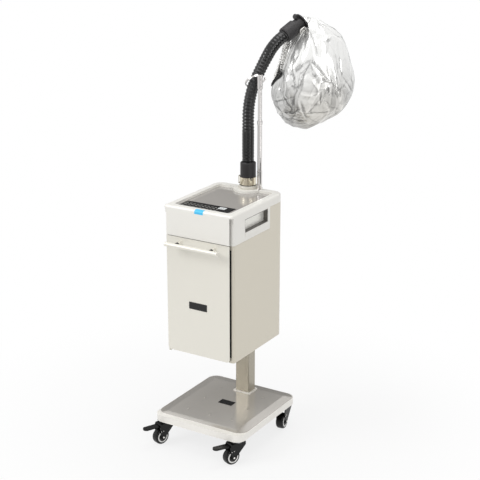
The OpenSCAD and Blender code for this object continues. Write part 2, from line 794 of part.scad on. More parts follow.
module outlet_collar() {
  latch_w = 9;
  color("#C8BFA6") translate([0, outlet_y, collar_z]) {
    difference() {
      cylinder(r = collar_r, h = collar_h);
      translate([0, 0, 6]) cylinder(r = cuff_r - 2 + gap, h = collar_h);
      translate([0, 0, -1]) cylinder(r = outlet_bore, h = collar_h);
    }
    rotate(200) {
      translate([collar_r - 0.6, -latch_w / 2, 4]) cube([5, latch_w, 1.4]);
      translate([collar_r + 2.6, -latch_w / 2, 4]) cube([1.4, latch_w, collar_h - 2]);
      translate([collar_r - 0.4, -latch_w / 2, collar_h + 0.6]) cube([4.4, latch_w, 1.4]);
    }
  }
}

module lower_cuff() {
  color("#333233") translate([0, outlet_y, 0]) difference() {
    union() {
      translate([0, 0, cuff_z + gap]) cylinder(r = cuff_r, h = cuff_h - 2 - gap);
      translate([0, 0, hose_z - 2]) cylinder(r1 = cuff_r, r2 = cuff_r - 1.6, h = 2);
      translate([0, 0, collar_z + 6.3]) cylinder(r = cuff_r - 2, h = collar_h);
    }
    translate([0, 0, collar_z]) cylinder(r = hose_bore, h = 200);
    translate([0, 0, hose_z - 24]) cylinder(r = hose_r + gap, h = 60);
  }
}

// Hose: a straight rise, three bends of growing lean in one upright plane, and a straight end
hose_start_z = hose_z - 24 + gap;
rise = cab_top + 222 - hose_start_z;
bends = [[252, 30], [800, 5.5], [150, 24.5]];
end_straight = 38;
lean = bends[0][1] + bends[1][1] + bends[2][1];

// Length along the route up to the start of bend n, and lean there
function bend_len(n) = n < 0 ? rise : bend_len(n - 1) + bends[n][0] * bends[n][1] * PI / 180;
function bend_lean(n) = n < 0 ? 0 : bend_lean(n - 1) + bends[n][1];
function bend_end(n) = n < 0 ? [0, rise] :
  bend_end(n - 1) + bends[n][0] * [cos(bend_lean(n - 1)) - cos(bend_lean(n)), sin(bend_lean(n)) - sin(bend_lean(n - 1))];
hose_len = bend_len(2) + end_straight;

// Lean of the route at a length along it, and the point there, outward and up from its start
function which_bend(s) = s <= rise ? -1 : s <= bend_len(0) ? 0 : s <= bend_len(1) ? 1 : s <= bend_len(2) ? 2 : 3;
function lean_at(s) = let (n = which_bend(s))
  n < 0 ? 0 : n > 2 ? lean : bend_lean(n - 1) + (s - bend_len(n - 1)) / bends[n][0] * 180 / PI;
function route(s) = let (n = which_bend(s), a = lean_at(s))
  n < 0 ? [0, s] :
  n > 2 ? bend_end(2) + (s - bend_len(2)) * [sin(lean), cos(lean)] :
  bend_end(n - 1) + bends[n][0] * [cos(bend_lean(n - 1)) - cos(a), sin(a) - sin(bend_lean(n - 1))];

function place(p) = [p[0] * cos(lean_dir), outlet_y + p[0] * sin(lean_dir), hose_start_z + p[1]];

// Ring of points round the route at a length along it
function route_ring(s, r, sides) = let (p = route(s), a = lean_at(s))
  [for (i = [0 : sides - 1]) let (t = 360 * (i + 0.5) / sides, u = r * cos(t), v = r * sin(t))
    place([p[0] + u * cos(a), p[1] - u * sin(a)]) + v * [-sin(lean_dir), cos(lean_dir), 0]];

// Triangles between successive rings, closed as a loop of rings
function ring_faces(rings, sides) = [for (k = [0 : rings - 1], i = [0 : sides - 1])
  let (n = (k + 1) % rings, j = (i + 1) % sides, a = k * sides + i, b = k * sides + j,
       c = n * sides + i, d = n * sides + j)
  each [[a, b, d], [a, d, c]]];

hose_sides = 8;
pitch = hose_len / (ribs + 0.5);

module hose() {
  outer = [for (k = [0 : 2 * ribs + 1]) let (s = min(hose_len, k * pitch / 2))
           route_ring(s, k % 2 == 0 ? hose_r : hose_r - rib_h, hose_sides)];
  inner = [for (k = [ribs : -1 : 0]) route_ring(hose_len * k / ribs, hose_bore, hose_sides)];
  rings = concat(outer, inner);
  color("#2B2B2B") polyhedron(points = [for (r = rings) each r],
    faces = ring_faces(len(rings), hose_sides), convexity = 8);
}

// Upper cuff and hood neck stand on the hose's end, along its last direction
hose_tip = place(route(hose_len));
module at_tip() {
  translate(hose_tip) rotate([0, lean, lean_dir]) children();
}

cuff_below = 26;
cuff_above = top_cuff_l - cuff_below;
spigot_r = 16.5;
neck_z = cuff_above + gap;
neck_end = neck_z + neck_l;
neck_flange_t = 4;

module upper_cuff() {
  color("#3B3638") at_tip() difference() {
    union() {
      translate([0, 0, -cuff_below]) cylinder(r1 = top_cuff_r - 1, r2 = top_cuff_r, h = 4);
      translate([0, 0, -cuff_below + 4]) cylinder(r = top_cuff_r, h = top_cuff_l - 4);
    }
    translate([0, 0, -cuff_below - 1]) cylinder(r = hose_r + gap, h = cuff_below + 1 + gap);
    translate([0, 0, -1]) cylinder(r = hose_bore, h = top_cuff_l);
    translate([0, 0, 3]) cylinder(r = spigot_r + run_gap, h = top_cuff_l);
  }
}

ear_r = 8;
ear_x = -neck_r - 4.5;
ear_z = neck_end - 6;
clip_x = neck_r;

module hood_neck() {
  color("#37332F") at_tip() {
    difference() {
      union() {
        translate([0, 0, 3.4]) cylinder(r = spigot_r, h = cuff_above);
        translate([0, 0, neck_z]) cylinder(r = neck_r, h = neck_l);
        translate([0, 0, neck_end]) cylinder(r = neck_flange_r, h = neck_flange_t);
        translate([ear_x, 8, ear_z]) rotate([90, 0, 0]) cylinder(r = ear_r, h = 16);
        translate([ear_x, -8, ear_z - ear_r * 0.4]) cube([8, 16, ear_r]);
      }
      translate([0, 0, 2]) cylinder(r = 13.5, h = neck_end + 10);
      translate([ear_x, 20, ear_z]) rotate([90, 0, 0]) cylinder(r = 2.2, h = 40);
    }
  }
}

// Hood bag: a pear shape on a sphere's grid, its rings centred on the head opening
hood_top = hose_tip[2] + 38;
hood_mid_z = hood_top - hood_h / 2;
hood_pear = 25;
hood_out = 250 - 3;
mouth_dir = 215;
mouth_lift = 10;
mouth_half = 27;
hood_rings = 18;
hood_sides = 28;

// Point of the bag for a direction on the unit sphere, drawn in by the cloth's thickness
function bag_point(u, inset) = let (z = u[2], h = max(0.02, norm([u[0], u[1]])),
    w = sqrt(max(0, 1 - z * z)) * (hood_r - hood_pear * z) - inset * h,
    c = hood_out + 5 * z - 35 * pow(max(0, -z), 3) - 160 * pow(max(0, z - 0.5), 2))
  [c * cos(lean_dir) + w * u[0] / h, outlet_y + c * sin(lean_dir) + w * u[1] / h,
   hood_mid_z + (hood_h / 2 - inset) * z];

// Direction at a polar angle and turn about the head opening's axis
function mouth_dir_vec(polar, turn) =
  let (x = cos(polar), y = sin(polar) * cos(turn), z = sin(polar) * sin(turn),
       x1 = x * cos(mouth_lift) - z * sin(mouth_lift), z1 = x * sin(mouth_lift) + z * cos(mouth_lift))
  [x1 * cos(mouth_dir) - y * sin(mouth_dir), x1 * sin(mouth_dir) + y * cos(mouth_dir), z1];

function bag_ring(polar, inset) = [for (i = [0 : hood_sides - 1]) bag_point(mouth_dir_vec(polar, 360 * i / hood_sides), inset)];

module hood_bag() {
  last = 176;
  step = (last - mouth_half) / (hood_rings - 1);
  outer = [for (k = [0 : hood_rings - 1]) bag_ring(mouth_half + k * step, 0)];
  inner = [for (k = [hood_rings - 1 : -1 : 0]) bag_ring(mouth_half + k * step, hood_t)];
  n = hood_sides;
  body = [for (r = concat(outer, inner)) each r];
  poles = [bag_point(mouth_dir_vec(180, 0), 0), bag_point(mouth_dir_vec(180, 0), hood_t)];
  o = len(body);
  a0 = (hood_rings - 1) * n;
  b0 = hood_rings * n;
  side = [for (k = [0 : hood_rings - 2], i = [0 : n - 1]) let (j = (i + 1) % n, a = k * n + i, b = k * n + j)
          each [[a, b, b + n], [a, b + n, a + n]]];
  skin = [for (k = [hood_rings : 2 * hood_rings - 2], i = [0 : n - 1])
          let (j = (i + 1) % n, a = k * n + i, b = k * n + j) each [[a, b, b + n], [a, b + n, a + n]]];
  lip = [for (i = [0 : n - 1]) let (j = (i + 1) % n, a = (2 * hood_rings - 1) * n + i, b = (2 * hood_rings - 1) * n + j)
         each [[a, b, j], [a, j, i]]];
  caps = [for (i = [0 : n - 1]) let (j = (i + 1) % n) each [[a0 + i, a0 + j, o], [b0 + j, b0 + i, o + 1]]];
  color("#C9C9C4") difference() {
    polyhedron(points = concat(body, poles), faces = concat(side, skin, lip, caps), convexity = 6);
    at_tip() translate([0, 0, -20]) cylinder(r = neck_flange_r + 1, h = 20 + neck_end + neck_flange_t + gap);
  }
}

// Elastic band round the head opening, outside the cloth
module hood_trim() {
  band = 3;
  turns = [mouth_half - 3, mouth_half, mouth_half + 4];
  edge = concat([for (t = turns) bag_ring(t, -gap - 0.1 - band)], [for (k = [2 : -1 : 0]) bag_ring(turns[k], -gap - 0.1)]);
  color("#141414") polyhedron(points = [for (r = edge) each r], faces = ring_faces(6, hood_sides), convexity = 6);
}

// Pole: lower tube in the rim, ferrule, upper tube with its sleeve, and the open clip round the hose
pole_end = cab_top + lower_pole_l;
pole_top = pole_end + upper_pole_l;
slide_in = 140;

module pole_lower() {
  color("#D9D6D3") translate([pole_x, pole_y, rim_z + 4]) {
    tube(pole_r, inner_pole_r + run_gap, pole_end - rim_z - 4);
    translate([0, 0, pole_end - rim_z - 14]) tube(pole_r + 1, inner_pole_r + run_gap, 10);
    translate([0, 0, cab_top - rim_z - 4]) tube(pole_r + 2, inner_pole_r + run_gap, 7);
    translate([0, 0, cab_top - rim_z + 3]) tube(pole_r + 1, inner_pole_r + run_gap, 53);
  }
}

module pole_upper() {
  color("#D9D6D3") translate([pole_x, pole_y, 0]) {
    translate([0, 0, pole_end - slide_in]) tube(inner_pole_r, inner_pole_r - pole_t, upper_pole_l + slide_in - 1);
    translate([0, 0, pole_top - 2]) cylinder(r = sleeve_r - 0.6, h = 2);
  }
}

clip_h = 6;
clip_across = 45.3;
clip_r = hose_r / cos(clip_across) + clip_h / 2 * tan(clip_across) + 0.5;
clip_t = 2;
clip_tilt = 42.6;
clip_dir = 147;
clip_z = pole_top - 27;
clip_s = rise + asin((clip_z - hose_start_z - rise) / bends[0][0]) * bends[0][0] * PI / 180;
clip_c = place(route(clip_s));
clip_top = [clip_c[0] - (clip_r + clip_t / 2) * cos(clip_tilt) * cos(clip_dir),
  clip_c[1] - (clip_r + clip_t / 2) * cos(clip_tilt) * sin(clip_dir)];
arm_dir = atan2(clip_top[1] - pole_y, clip_top[0] - pole_x);
clip_open = [184, 257];

module at_clip() {
  translate(clip_c) rotate([0, clip_tilt, clip_dir]) children();
}

// Open hoop in the plane of its band: the free end is rolled to a round bead
module clip_profile() {
  middle = (clip_open[0] + clip_open[1]) / 2;
  half = (clip_open[1] - clip_open[0]) / 2;
  difference() {
    circle(clip_r + clip_t);
    circle(clip_r);
    polygon(concat([[0, 0]], [for (k = [-1, -0.5, 0, 0.5, 1])
      2 * clip_r * [cos(middle + k * half), sin(middle + k * half)]]));
  }
  rotate(clip_open[1]) translate([clip_r + clip_t / 2, 0]) circle(2.6);
}

module hose_clip() {
  color("#BFBCB8") {
    difference() {
      union() {
        translate([pole_x, pole_y, pole_top - 2 - sleeve_l]) cylinder(r = sleeve_r, h = sleeve_l);
        difference() {
          translate([pole_x, pole_y, pole_top - 9]) rotate(arm_dir)
            translate([inner_pole_r + 1, -1.5, 0]) cube([norm(clip_top - [pole_x, pole_y]) - inner_pole_r + 1, 3, 6]);
          at_clip() translate([0, 0, -40]) cylinder(r = clip_r + 1, h = 80);
        }
      }
      translate([pole_x, pole_y, pole_top - sleeve_l - 3]) cylinder(r = inner_pole_r, h = sleeve_l + 10);
    }
    at_clip() translate([0, 0, -clip_h / 2]) linear_extrude(clip_h) clip_profile();
  }
}

// Water tank and its cap, in front of the column on the cabinet floor
tank_y = cab_front + 17 + tank_d / 2;
cap_r = 25;
cap_y = tank_y - 10;

module water_tank() {
  color("#DCE6E8") difference() {
    union() {
      translate([0, tank_y, floor_top]) slab(tank_w, tank_d, tank_h, 10);
      translate([0, cap_y, floor_top + tank_h]) cylinder(r = cap_r - 4, h = 12);
    }
    translate([0, tank_y, floor_top + tank_t]) slab(tank_w - 2 * tank_t, tank_d - 2 * tank_t, tank_h - 2 * tank_t, 8);
    translate([0, cap_y, floor_top + tank_h - tank_t - 1]) cylinder(r = cap_r - 7, h = 20);
  }
}

module tank_cap() {
  color("#2F6FA8") translate([0, cap_y, floor_top + tank_h + gap]) difference() {
    union() {
      cylinder(r = cap_r, h = 15);
      for (a = [0 : 30 : 330]) rotate(a) translate([cap_r - 1, -1.5, 2]) cube([2.2, 3, 11]);
    }
    translate([0, 0, -1]) cylinder(r = cap_r - 4 + run_gap, h = 13);
  }
}

// Boiler on its shelf, with the lid and the coil of the heater, and the duct up to the outlet
shelf_z = floor_top + shelf_up;
boiler_y = min(cab_rear - shell_t - 4 - boiler_r, outlet_y - 30);
duct_y = boiler_y + 10;

module boiler() {
  shelf_y0 = cab_front + 70;
  shelf_y1 = cab_rear - rear_r;
  color("#BFC1C3") {
    difference() {
      union() {
        box(-cab_w / 2 + shell_t, cab_w / 2 - shell_t, shelf_y0, shelf_y1, shelf_z, shelf_z + 3);
        for (s = [-1, 1]) side_box(s, cab_w / 2 - shell_t - 2, cab_w / 2 - shell_t, shelf_y0, shelf_y1,
                                   shelf_z - 14, shelf_z + 1);
        translate([0, boiler_y, shelf_z]) cylinder(r = boiler_r, h = boiler_h);
        translate([0, boiler_y, shelf_z + boiler_h - 6]) cylinder(r = boiler_r + 3, h = 9);
        translate([0, duct_y, shelf_z + boiler_h]) cylinder(r = outlet_bore, h = 12);
      }
      translate([0, boiler_y, shelf_z + 3]) cylinder(r = boiler_r - 2, h = boiler_h - 6);
      translate([0, duct_y, shelf_z + 20]) cylinder(r = outlet_bore - 3, h = boiler_h);
    }
    translate([0, boiler_y, shelf_z + 16]) rotate_extrude() translate([boiler_r * 0.6, 0]) circle(4);
    for (s = [-1, 1]) translate([s * boiler_r * 0.6, boiler_y, shelf_z + 1]) cylinder(r = 3, h = 15);
  }
}

module steam_duct() {
  z0 = shelf_z + boiler_h + 3;
  y1 = outlet_y + outlet_bore + 1.6;
  chamber_h = 26;
  color("#8E8C88") difference() {
    union() {
      box(-outlet_bore - 2, outlet_bore + 2, duct_y - 18, y1, z0, z0 + chamber_h);
      translate([0, outlet_y, z0 + chamber_h - 2]) cylinder(r = outlet_bore + 1.6, h = rim_z - 4 - z0 - chamber_h + 2);
    }
    box(-outlet_bore, outlet_bore, duct_y - 16, y1 - 2, z0 + 2, z0 + chamber_h - 2);
    translate([0, outlet_y, z0 + 6]) cylinder(r = outlet_bore, h = 200);
    translate([0, duct_y, z0 - 1]) cylinder(r = outlet_bore, h = 8);
  }
}

// Control board, hung under the tray panel on four spacers
module control_board() {
  z = tray_z - tray_t - 14;
  color("#2E6B45") {
    box(strip_x0 + 8, strip_x0 + strip_l - 8, strip_y0 + 4, strip_y0 + strip_d, z, z + 1.6);
    for (x = [strip_x0 + 14, strip_x0 + strip_l - 14], y = [strip_y0 + 9, strip_y0 + strip_d - 6])
      translate([x, y, z + 1.6]) cylinder(r = 3, h = 14 - 1.6);
    for (i = [0 : 3]) box(strip_x0 + 30 + 30 * i, strip_x0 + 46 + 30 * i, strip_y0 + 18, strip_y0 + 40, z - 5, z);
  }
}

// Vent fan on the inside of the back panel
module at_fan() {
  translate([0, cab_rear - fan_t, fan_z]) rotate([-90, 0, 0]) children();
}

module fan_frame() {
  r = fan_w / 2 - 2.5;
  color("#232324") at_fan() {
    difference() {
      translate([-fan_w / 2, -fan_w / 2, 0]) cube([fan_w, fan_w, fan_t]);
      translate([0, 0, -1]) cylinder(r = r, h = fan_t + 2);
      for (sx = [-1, 1], sy = [-1, 1])
        translate([sx * (fan_w / 2 - 5), sy * (fan_w / 2 - 5), -1]) cylinder(r = 2.2, h = fan_t + 2);
    }
    for (a = [0 : 90 : 270]) rotate(a + 20) translate([10, -2, 0]) cube([r - 9, 4, 3]);
    cylinder(r = 13, h = 3);
    cylinder(r = 2, h = fan_t - 4);
  }
}

module fan_rotor() {
  h = fan_t - 8;
  color("#1A1A1B") at_fan() translate([0, 0, 3.6]) difference() {
    union() {
      cylinder(r = 13, h = h);
      for (i = [0 : 6]) rotate(i * 360 / 7) translate([11, 0, h / 2]) rotate([35, 0, 0])
        translate([0, -9, -0.8]) cube([fan_w / 2 - 16.5, 18, 1.6]);
    }
    translate([0, 0, -1]) cylinder(r = 2 + run_gap, h = h + 2);
  }
}

// Mains inlet, and the frame of the rocker switch, on the back panel
module power_inlet() {
  y0 = cab_rear + 1.5;
  color("#1F1F20") {
    difference() {
      union() {
        box(inlet_x - inlet_w / 2, inlet_x + inlet_w / 2, cab_rear - 22, y0 + 1, inlet_z - inlet_h / 2, inlet_z + inlet_h / 2);
        box(inlet_x - inlet_w / 2 - 3, inlet_x + inlet_w / 2 + 3, y0, y0 + 2.5,
            inlet_z - inlet_h / 2 - 2, inlet_z + inlet_h / 2 + 2);
      }
      box(inlet_x - 12, inlet_x + 12, cab_rear - 14, y0 + 4, inlet_z - 8, inlet_z + 8);
    }
    for (x = [-7, 0, 7]) box(inlet_x + x - 1, inlet_x + x + 1, cab_rear - 15, y0 - 3, inlet_z - 2, inlet_z + 2);
    difference() {
      union() {
        box(switch_x - switch_w / 2, switch_x + switch_w / 2, cab_rear - 20, y0 + 1, inlet_z - switch_h / 2, inlet_z + switch_h / 2);
        box(switch_x - switch_w / 2 - 2, switch_x + switch_w / 2 + 2, y0, y0 + 2,
            inlet_z - switch_h / 2 - 2, inlet_z + switch_h / 2 + 2);
      }
      box(switch_x - 7.5, switch_x + 7.5, cab_rear - 10, y0 + 4, inlet_z - 11.5, inlet_z + 11.5);
      translate([switch_x - 9, rocker_y, inlet_z]) rotate([0, 90, 0]) cylinder(r = pivot_r + run_gap, h = 18);
    }
  }
}

rocker_y = cab_rear - 1;
pivot_r = 1.2;

module rocker() {
  color("#8C1F1B") {
    translate([switch_x - 7, rocker_y, inlet_z]) rotate([90, 0, 90]) linear_extrude(14)
      polygon([[-4, -8], [5, -10], [3.4, 0], [5, 10], [-4, 8]]);
    translate([switch_x - 8.7, rocker_y, inlet_z]) rotate([0, 90, 0]) cylinder(r = pivot_r, h = 17.4);
  }
}

base_tray();
base_plate();
base_screws();
base_badge();
column();
column_foot();
column_bracket();
caster_mounts();
fork(casters[0]);  // fork_front_left
fork(casters[1]);  // fork_front_right
fork(casters[2]);  // fork_rear_left
fork(casters[3]);  // fork_rear_right
hub(casters[0]);  // hub_front_left
hub(casters[1]);  // hub_front_right
hub(casters[2]);  // hub_rear_left
hub(casters[3]);  // hub_rear_right
tyre(casters[0]);  // tyre_front_left
tyre(casters[1]);  // tyre_front_right
tyre(casters[2]);  // tyre_rear_left
tyre(casters[3]);  // tyre_rear_right
pedal(casters[0]);  // pedal_front_left
pedal(casters[1]);  // pedal_front_right
cabinet_floor();
side_shell();
back_panel();
back_screws();
upper_shell();
fascia_backing();
top_tray();
control_strip();
display_window();
pocket_liners();
pocket_plates();
door_skin();
door_liner();
door_seals();
door_hinge_blocks();
hinge_brackets();
bar_handle();
door_badge();
outlet_flange();
outlet_collar();
lower_cuff();
hose();
upper_cuff();
hood_neck();
hood_bag();
hood_trim();
pole_lower();
pole_upper();
hose_clip();
water_tank();
tank_cap();
boiler();
steam_duct();
control_board();
fan_frame();
fan_rotor();
power_inlet();
rocker();
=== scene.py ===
import json
import math
import bmesh
import bpy
import numpy as np
from mathutils import Matrix, Vector


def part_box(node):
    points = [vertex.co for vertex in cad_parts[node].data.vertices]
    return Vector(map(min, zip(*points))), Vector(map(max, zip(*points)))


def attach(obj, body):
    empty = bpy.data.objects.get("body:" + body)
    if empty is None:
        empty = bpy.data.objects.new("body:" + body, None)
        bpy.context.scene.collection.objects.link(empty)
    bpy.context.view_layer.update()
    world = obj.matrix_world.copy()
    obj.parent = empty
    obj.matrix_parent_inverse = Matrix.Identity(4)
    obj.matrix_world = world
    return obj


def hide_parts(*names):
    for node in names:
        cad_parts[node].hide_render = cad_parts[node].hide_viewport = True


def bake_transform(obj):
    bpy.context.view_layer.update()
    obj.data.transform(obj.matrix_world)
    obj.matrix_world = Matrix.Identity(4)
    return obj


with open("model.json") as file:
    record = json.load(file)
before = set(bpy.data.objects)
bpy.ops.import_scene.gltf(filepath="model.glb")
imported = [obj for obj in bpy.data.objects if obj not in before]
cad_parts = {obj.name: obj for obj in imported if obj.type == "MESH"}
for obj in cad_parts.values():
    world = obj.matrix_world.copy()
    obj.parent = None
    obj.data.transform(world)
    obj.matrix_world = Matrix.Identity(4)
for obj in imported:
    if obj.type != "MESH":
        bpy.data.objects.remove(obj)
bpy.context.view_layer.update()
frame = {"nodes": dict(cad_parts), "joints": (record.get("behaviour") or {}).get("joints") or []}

nodes = frame["nodes"]
casterCorners = ("front_left", "front_right", "rear_left", "rear_right")
mm = 0.001

# camera in a square frame, fitted to the edges of the cabinet and the base; degrees, metres, and mm for the lens
camera = {"azimuth": 31.472, "elevation": 18.332, "distance": 3.8805, "lens": 95.09, "sensor": 36,
          "aim": (0.0449, 0.6534), "near": 0.1, "far": 60}


def makeCamera():
    a, e = math.radians(camera["azimuth"]), math.radians(camera["elevation"])
    back = Vector((math.sin(a) * math.cos(e), -math.cos(a) * math.cos(e), math.sin(e)))
    right = Vector((math.cos(a), math.sin(a), 0))
    up = back.cross(right)
    place = right * camera["aim"][0] + Vector((0, 0, camera["aim"][1])) + back * camera["distance"]
    data = bpy.data.cameras.new("studioCamera")
    data.lens, data.sensor_width = camera["lens"], camera["sensor"]
    data.clip_start, data.clip_end = camera["near"], camera["far"]
    item = bpy.data.objects.new("studioCamera", data)
    item.matrix_world = Matrix.Translation(place) @ Matrix((right, up, back)).transposed().to_4x4()
    bpy.context.scene.collection.objects.link(item)
    bpy.context.scene.camera = item


makeCamera()
bpy.context.scene.view_settings.view_transform = "Standard"
print("camera is placed")


def linear(hexText):
    # sRGB to linear light: c / 12.92 below 0.04045, else ((c + 0.055) / 1.055) ** 2.4
    values = [int(hexText[i:i + 2], 16) / 255 for i in (1, 3, 5)]
    return tuple(c / 12.92 if c <= 0.04045 else ((c + 0.055) / 1.055) ** 2.4 for c in values) + (1.0,)


def addNode(tree, kind, settings=None, links=None):
    node = tree.nodes.new(kind)
    for key, value in (settings or {}).items():
        if isinstance(key, int) or key in node.inputs:
            node.inputs[key].default_value = value
        else:
            setattr(node, key, value)
    for key, source in (links or {}).items():
        tree.links.new(source, node.inputs[key])
    return node


def unit(vectors):
    # the same directions with length 1
    vectors = np.asarray(vectors, float)
    return vectors / np.linalg.norm(vectors, axis=-1, keepdims=True)


def around(count):
    # angles evenly spaced round a circle
    return np.linspace(0, 2 * math.pi, count, endpoint=False)


def between(values, start, rise, end, fall):
    # 1 between two values, with a straight ramp inside each end
    return np.clip((values - start) / rise, 0, 1) * np.clip((end - values) / fall, 0, 1)


def meshObject(name, points, faces, smooth=True):
    mesh = bpy.data.meshes.new(name)
    faces = np.asarray(faces, np.int32)
    mesh.vertices.add(len(points))
    mesh.vertices.foreach_set("co", np.asarray(points, np.float32).ravel())
    mesh.loops.add(faces.size)
    mesh.loops.foreach_set("vertex_index", faces.ravel())
    mesh.polygons.add(len(faces))
    mesh.polygons.foreach_set("loop_start", np.arange(0, faces.size, faces.shape[1], dtype=np.int32))
    mesh.polygons.foreach_set("use_smooth", np.full(len(faces), smooth))
    mesh.update(calc_edges=True)
    mesh.validate()
    item = bpy.data.objects.new(name, mesh)
    bpy.context.scene.collection.objects.link(item)
    return item


def joinGrids(name, grids, smooth=True):
    # one mesh from grids (points of shape (rows, columns, 3), closeU, closeV), closed where a flag says so
    points, faces, start = [], [], 0
    for grid, closeU, closeV in grids:
        rows, cols = grid.shape[:2]
        r = np.arange(rows if closeU else rows - 1)[:, None]
        c = np.arange(cols if closeV else cols - 1)[None, :]
        r2, c2 = (r + 1) % rows, (c + 1) % cols
        quads = np.stack([r * cols + c, r * cols + c2, r2 * cols + c2, r2 * cols + c], -1).reshape(-1, 4)
        points.append(grid.reshape(-1, 3))
        faces.append(quads + start)
        start += rows * cols
    return meshObject(name, np.concatenate(points), np.concatenate(faces), smooth)


def gridObject(name, points, closeU=False, closeV=False, smooth=True):
    return joinGrids(name, [(points, closeU, closeV)], smooth)


def facesOutwards(item, merge=None):
    # joins points that lie within a distance, turns every face outwards and gives the area
    work = bmesh.new()
    work.from_mesh(item.data)
    if merge:
        bmesh.ops.remove_doubles(work, verts=work.verts, dist=merge)
    bmesh.ops.recalc_face_normals(work, faces=work.faces)
    area = sum(face.calc_area() for face in work.faces)
    work.to_mesh(item.data)
    work.free()
    return area


def turned(profile, centre, axis, sides=48):
    # a profile of (radius, height) pairs turned about an axis through a centre
    w = unit(axis)
    u = unit(np.cross(w, [1.0, 0, 0] if abs(w[0]) < 0.8 else [0, 1.0, 0]))
    v = np.cross(w, u)
    t = around(sides)
    profile = np.asarray(profile, float)
    ring = np.cos(t)[:, None] * u + np.sin(t)[:, None] * v
    return np.asarray(centre, float) + profile[:, 0, None, None] * ring[None] + profile[:, 1, None, None] * w


def tube(name, path, radius, sides=12, closed=False):
    # a round tube along a path of points, drawn to a point at each end unless it is closed
    path = np.asarray(path, float)
    ahead = unit((np.roll(path, -1, 0) - np.roll(path, 1, 0)) if closed else np.gradient(path, axis=0))
    u = unit(np.cross(ahead, [0.3, 0.2, 0.93]))
    v = np.cross(ahead, u)
    t = around(sides)[None, :, None]
    grid = path[:, None] + radius * (np.cos(t) * u[:, None] + np.sin(t) * v[:, None])
    if not closed:
        first, last = (np.broadcast_to(end[:, None], (1, sides, 3)) for end in (path[:1], path[-1:]))
        grid = np.concatenate([first, grid, last])
    return gridObject(name, grid, closeU=closed, closeV=True)


def prism(name, loop, shift):
    # a closed loop of points moved along a vector, with both ends capped
    loop, shift = np.asarray(loop, float), np.asarray(shift, float)
    n = len(loop)
    mesh = bpy.data.meshes.new(name)
    sides = [(i, (i + 1) % n, n + (i + 1) % n, n + i) for i in range(n)]
    ends = [tuple(range(n))[::-1], tuple(range(n, 2 * n))]
    mesh.from_pydata(np.concatenate([loop, loop + shift]).tolist(), [], sides + ends)
    mesh.polygons.foreach_set("use_smooth", np.full(len(mesh.polygons), False))
    item = bpy.data.objects.new(name, mesh)
    bpy.context.scene.collection.objects.link(item)
    facesOutwards(item)
    return item


def roundedRect(halfX, halfY, radius, steps=10):
    t = np.linspace(0, math.pi / 2, steps)
    corners = [((1, 1), 0), ((-1, 1), 1), ((-1, -1), 2), ((1, -1), 3)]
    return np.concatenate([np.stack([sx * (halfX - radius) + radius * np.cos(t + k * math.pi / 2),
                                     sy * (halfY - radius) + radius * np.sin(t + k * math.pi / 2)], -1)
                           for (sx, sy), k in corners])


def piece(item, material, body, replaces=()):
    item.data.materials.clear()
    item.data.materials.append(material)
    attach(item, body)
    if replaces:
        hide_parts(*replaces)
    return item


def surface(name, colour, roughness, metallic=0.0, ior=1.5, coat=0.0, coatRoughness=0.1, bump=None, shadeBlotches=None):
    # bump is (size in mm, height in mm); the blotch argument is (second colour, size in mm, contrast low, contrast
    # high), blotches of painted shade
    material = bpy.data.materials.new(name)
    material.use_nodes = True
    tree = material.node_tree
    shader = tree.nodes["Principled BSDF"]
    shader.inputs["Base Color"].default_value = linear(colour)
    shader.inputs["Roughness"].default_value = roughness
    shader.inputs["Metallic"].default_value = metallic
    # a metal keeps the shader's own IOR
    if metallic < 0.5:
        shader.inputs["IOR"].default_value = ior
    shader.inputs["Coat Weight"].default_value = coat
    shader.inputs["Coat Roughness"].default_value = coatRoughness
    place = addNode(tree, "ShaderNodeTexCoord")
    # a noise of scale n has n grains to the metre
    # dark blotches of a second colour, painted on as shade
    if shadeBlotches:
        noise = addNode(tree, "ShaderNodeTexNoise", {"Scale": 1000 / shadeBlotches[1], "Detail": 3.0},
                        {"Vector": place.outputs["Object"]})
        ramp = addNode(tree, "ShaderNodeValToRGB", None, {"Fac": noise.outputs["Fac"]})
        ends = ramp.color_ramp.elements
        ends[0].position, ends[1].position = shadeBlotches[2], shadeBlotches[3]
        ends[0].color, ends[1].color = linear(colour), linear(shadeBlotches[0])
        tree.links.new(ramp.outputs["Color"], shader.inputs["Base Color"])
    if bump:
        grain = addNode(tree, "ShaderNodeTexNoise", {"Scale": 1000 / bump[0], "Detail": 2.0},
                        {"Vector": place.outputs["Object"]})
        relief = addNode(tree, "ShaderNodeBump", {"Distance": bump[1] * mm, "Strength": 1.0},
                         {"Height": grain.outputs["Fac"]})
        tree.links.new(relief.outputs["Normal"], shader.inputs["Normal"])
    return material


# polyester powder baked on the cabinet's sheet steel: fine orange peel about 3 mm across, satin
champagnePaint = surface("champagne_powder_coat", "#D6D0C1", 0.32, metallic=0.3, bump=(3, 0.004))
# stoved enamel on the door, its bar and its hinges: shallower orange peel, satin
palePaint = surface("pale_satin_enamel", "#E6E3D9", 0.30, metallic=0.12, bump=(3, 0.003))
# ABS injected in a smooth mould, softly glossy
whiteAbs = surface("moulded_white_abs", "#ECEAE4", 0.28, ior=1.53)
# the same ABS in ivory, from a slightly duller mould
flangeAbs = surface("ivory_moulded_abs", "#C9C5BB", 0.35, ior=1.53)
# ABS from a mirror-polished mould: the tray under the strip
greyAbs = surface("glossy_grey_abs", "#A8A49F", 0.12, ior=1.53, coat=0.2, coatRoughness=0.05)
# ABS from a finely etched mould, matt; the same black also stands as painted shade in the slit beside the front panels
# and on the handle's posts
blackAbsAndShadeFill = surface("black_abs_and_shade_fill", "#141312", 0.5)
# the same etched finish in grey, inside the handle pockets
linerAbs = surface("grey_moulded_abs", "#5E5B56", 0.5, ior=1.53)
# acrylic sheet printed black on its back, with its bare glossy face outwards
stripAcrylic = surface("black_printed_acrylic", "#0B0A0A", 0.12, ior=1.46)
# acrylic window with a diffusing film behind it
windowAcrylic = surface("lit_display_acrylic", "#E9ECEC", 0.25, ior=1.49)
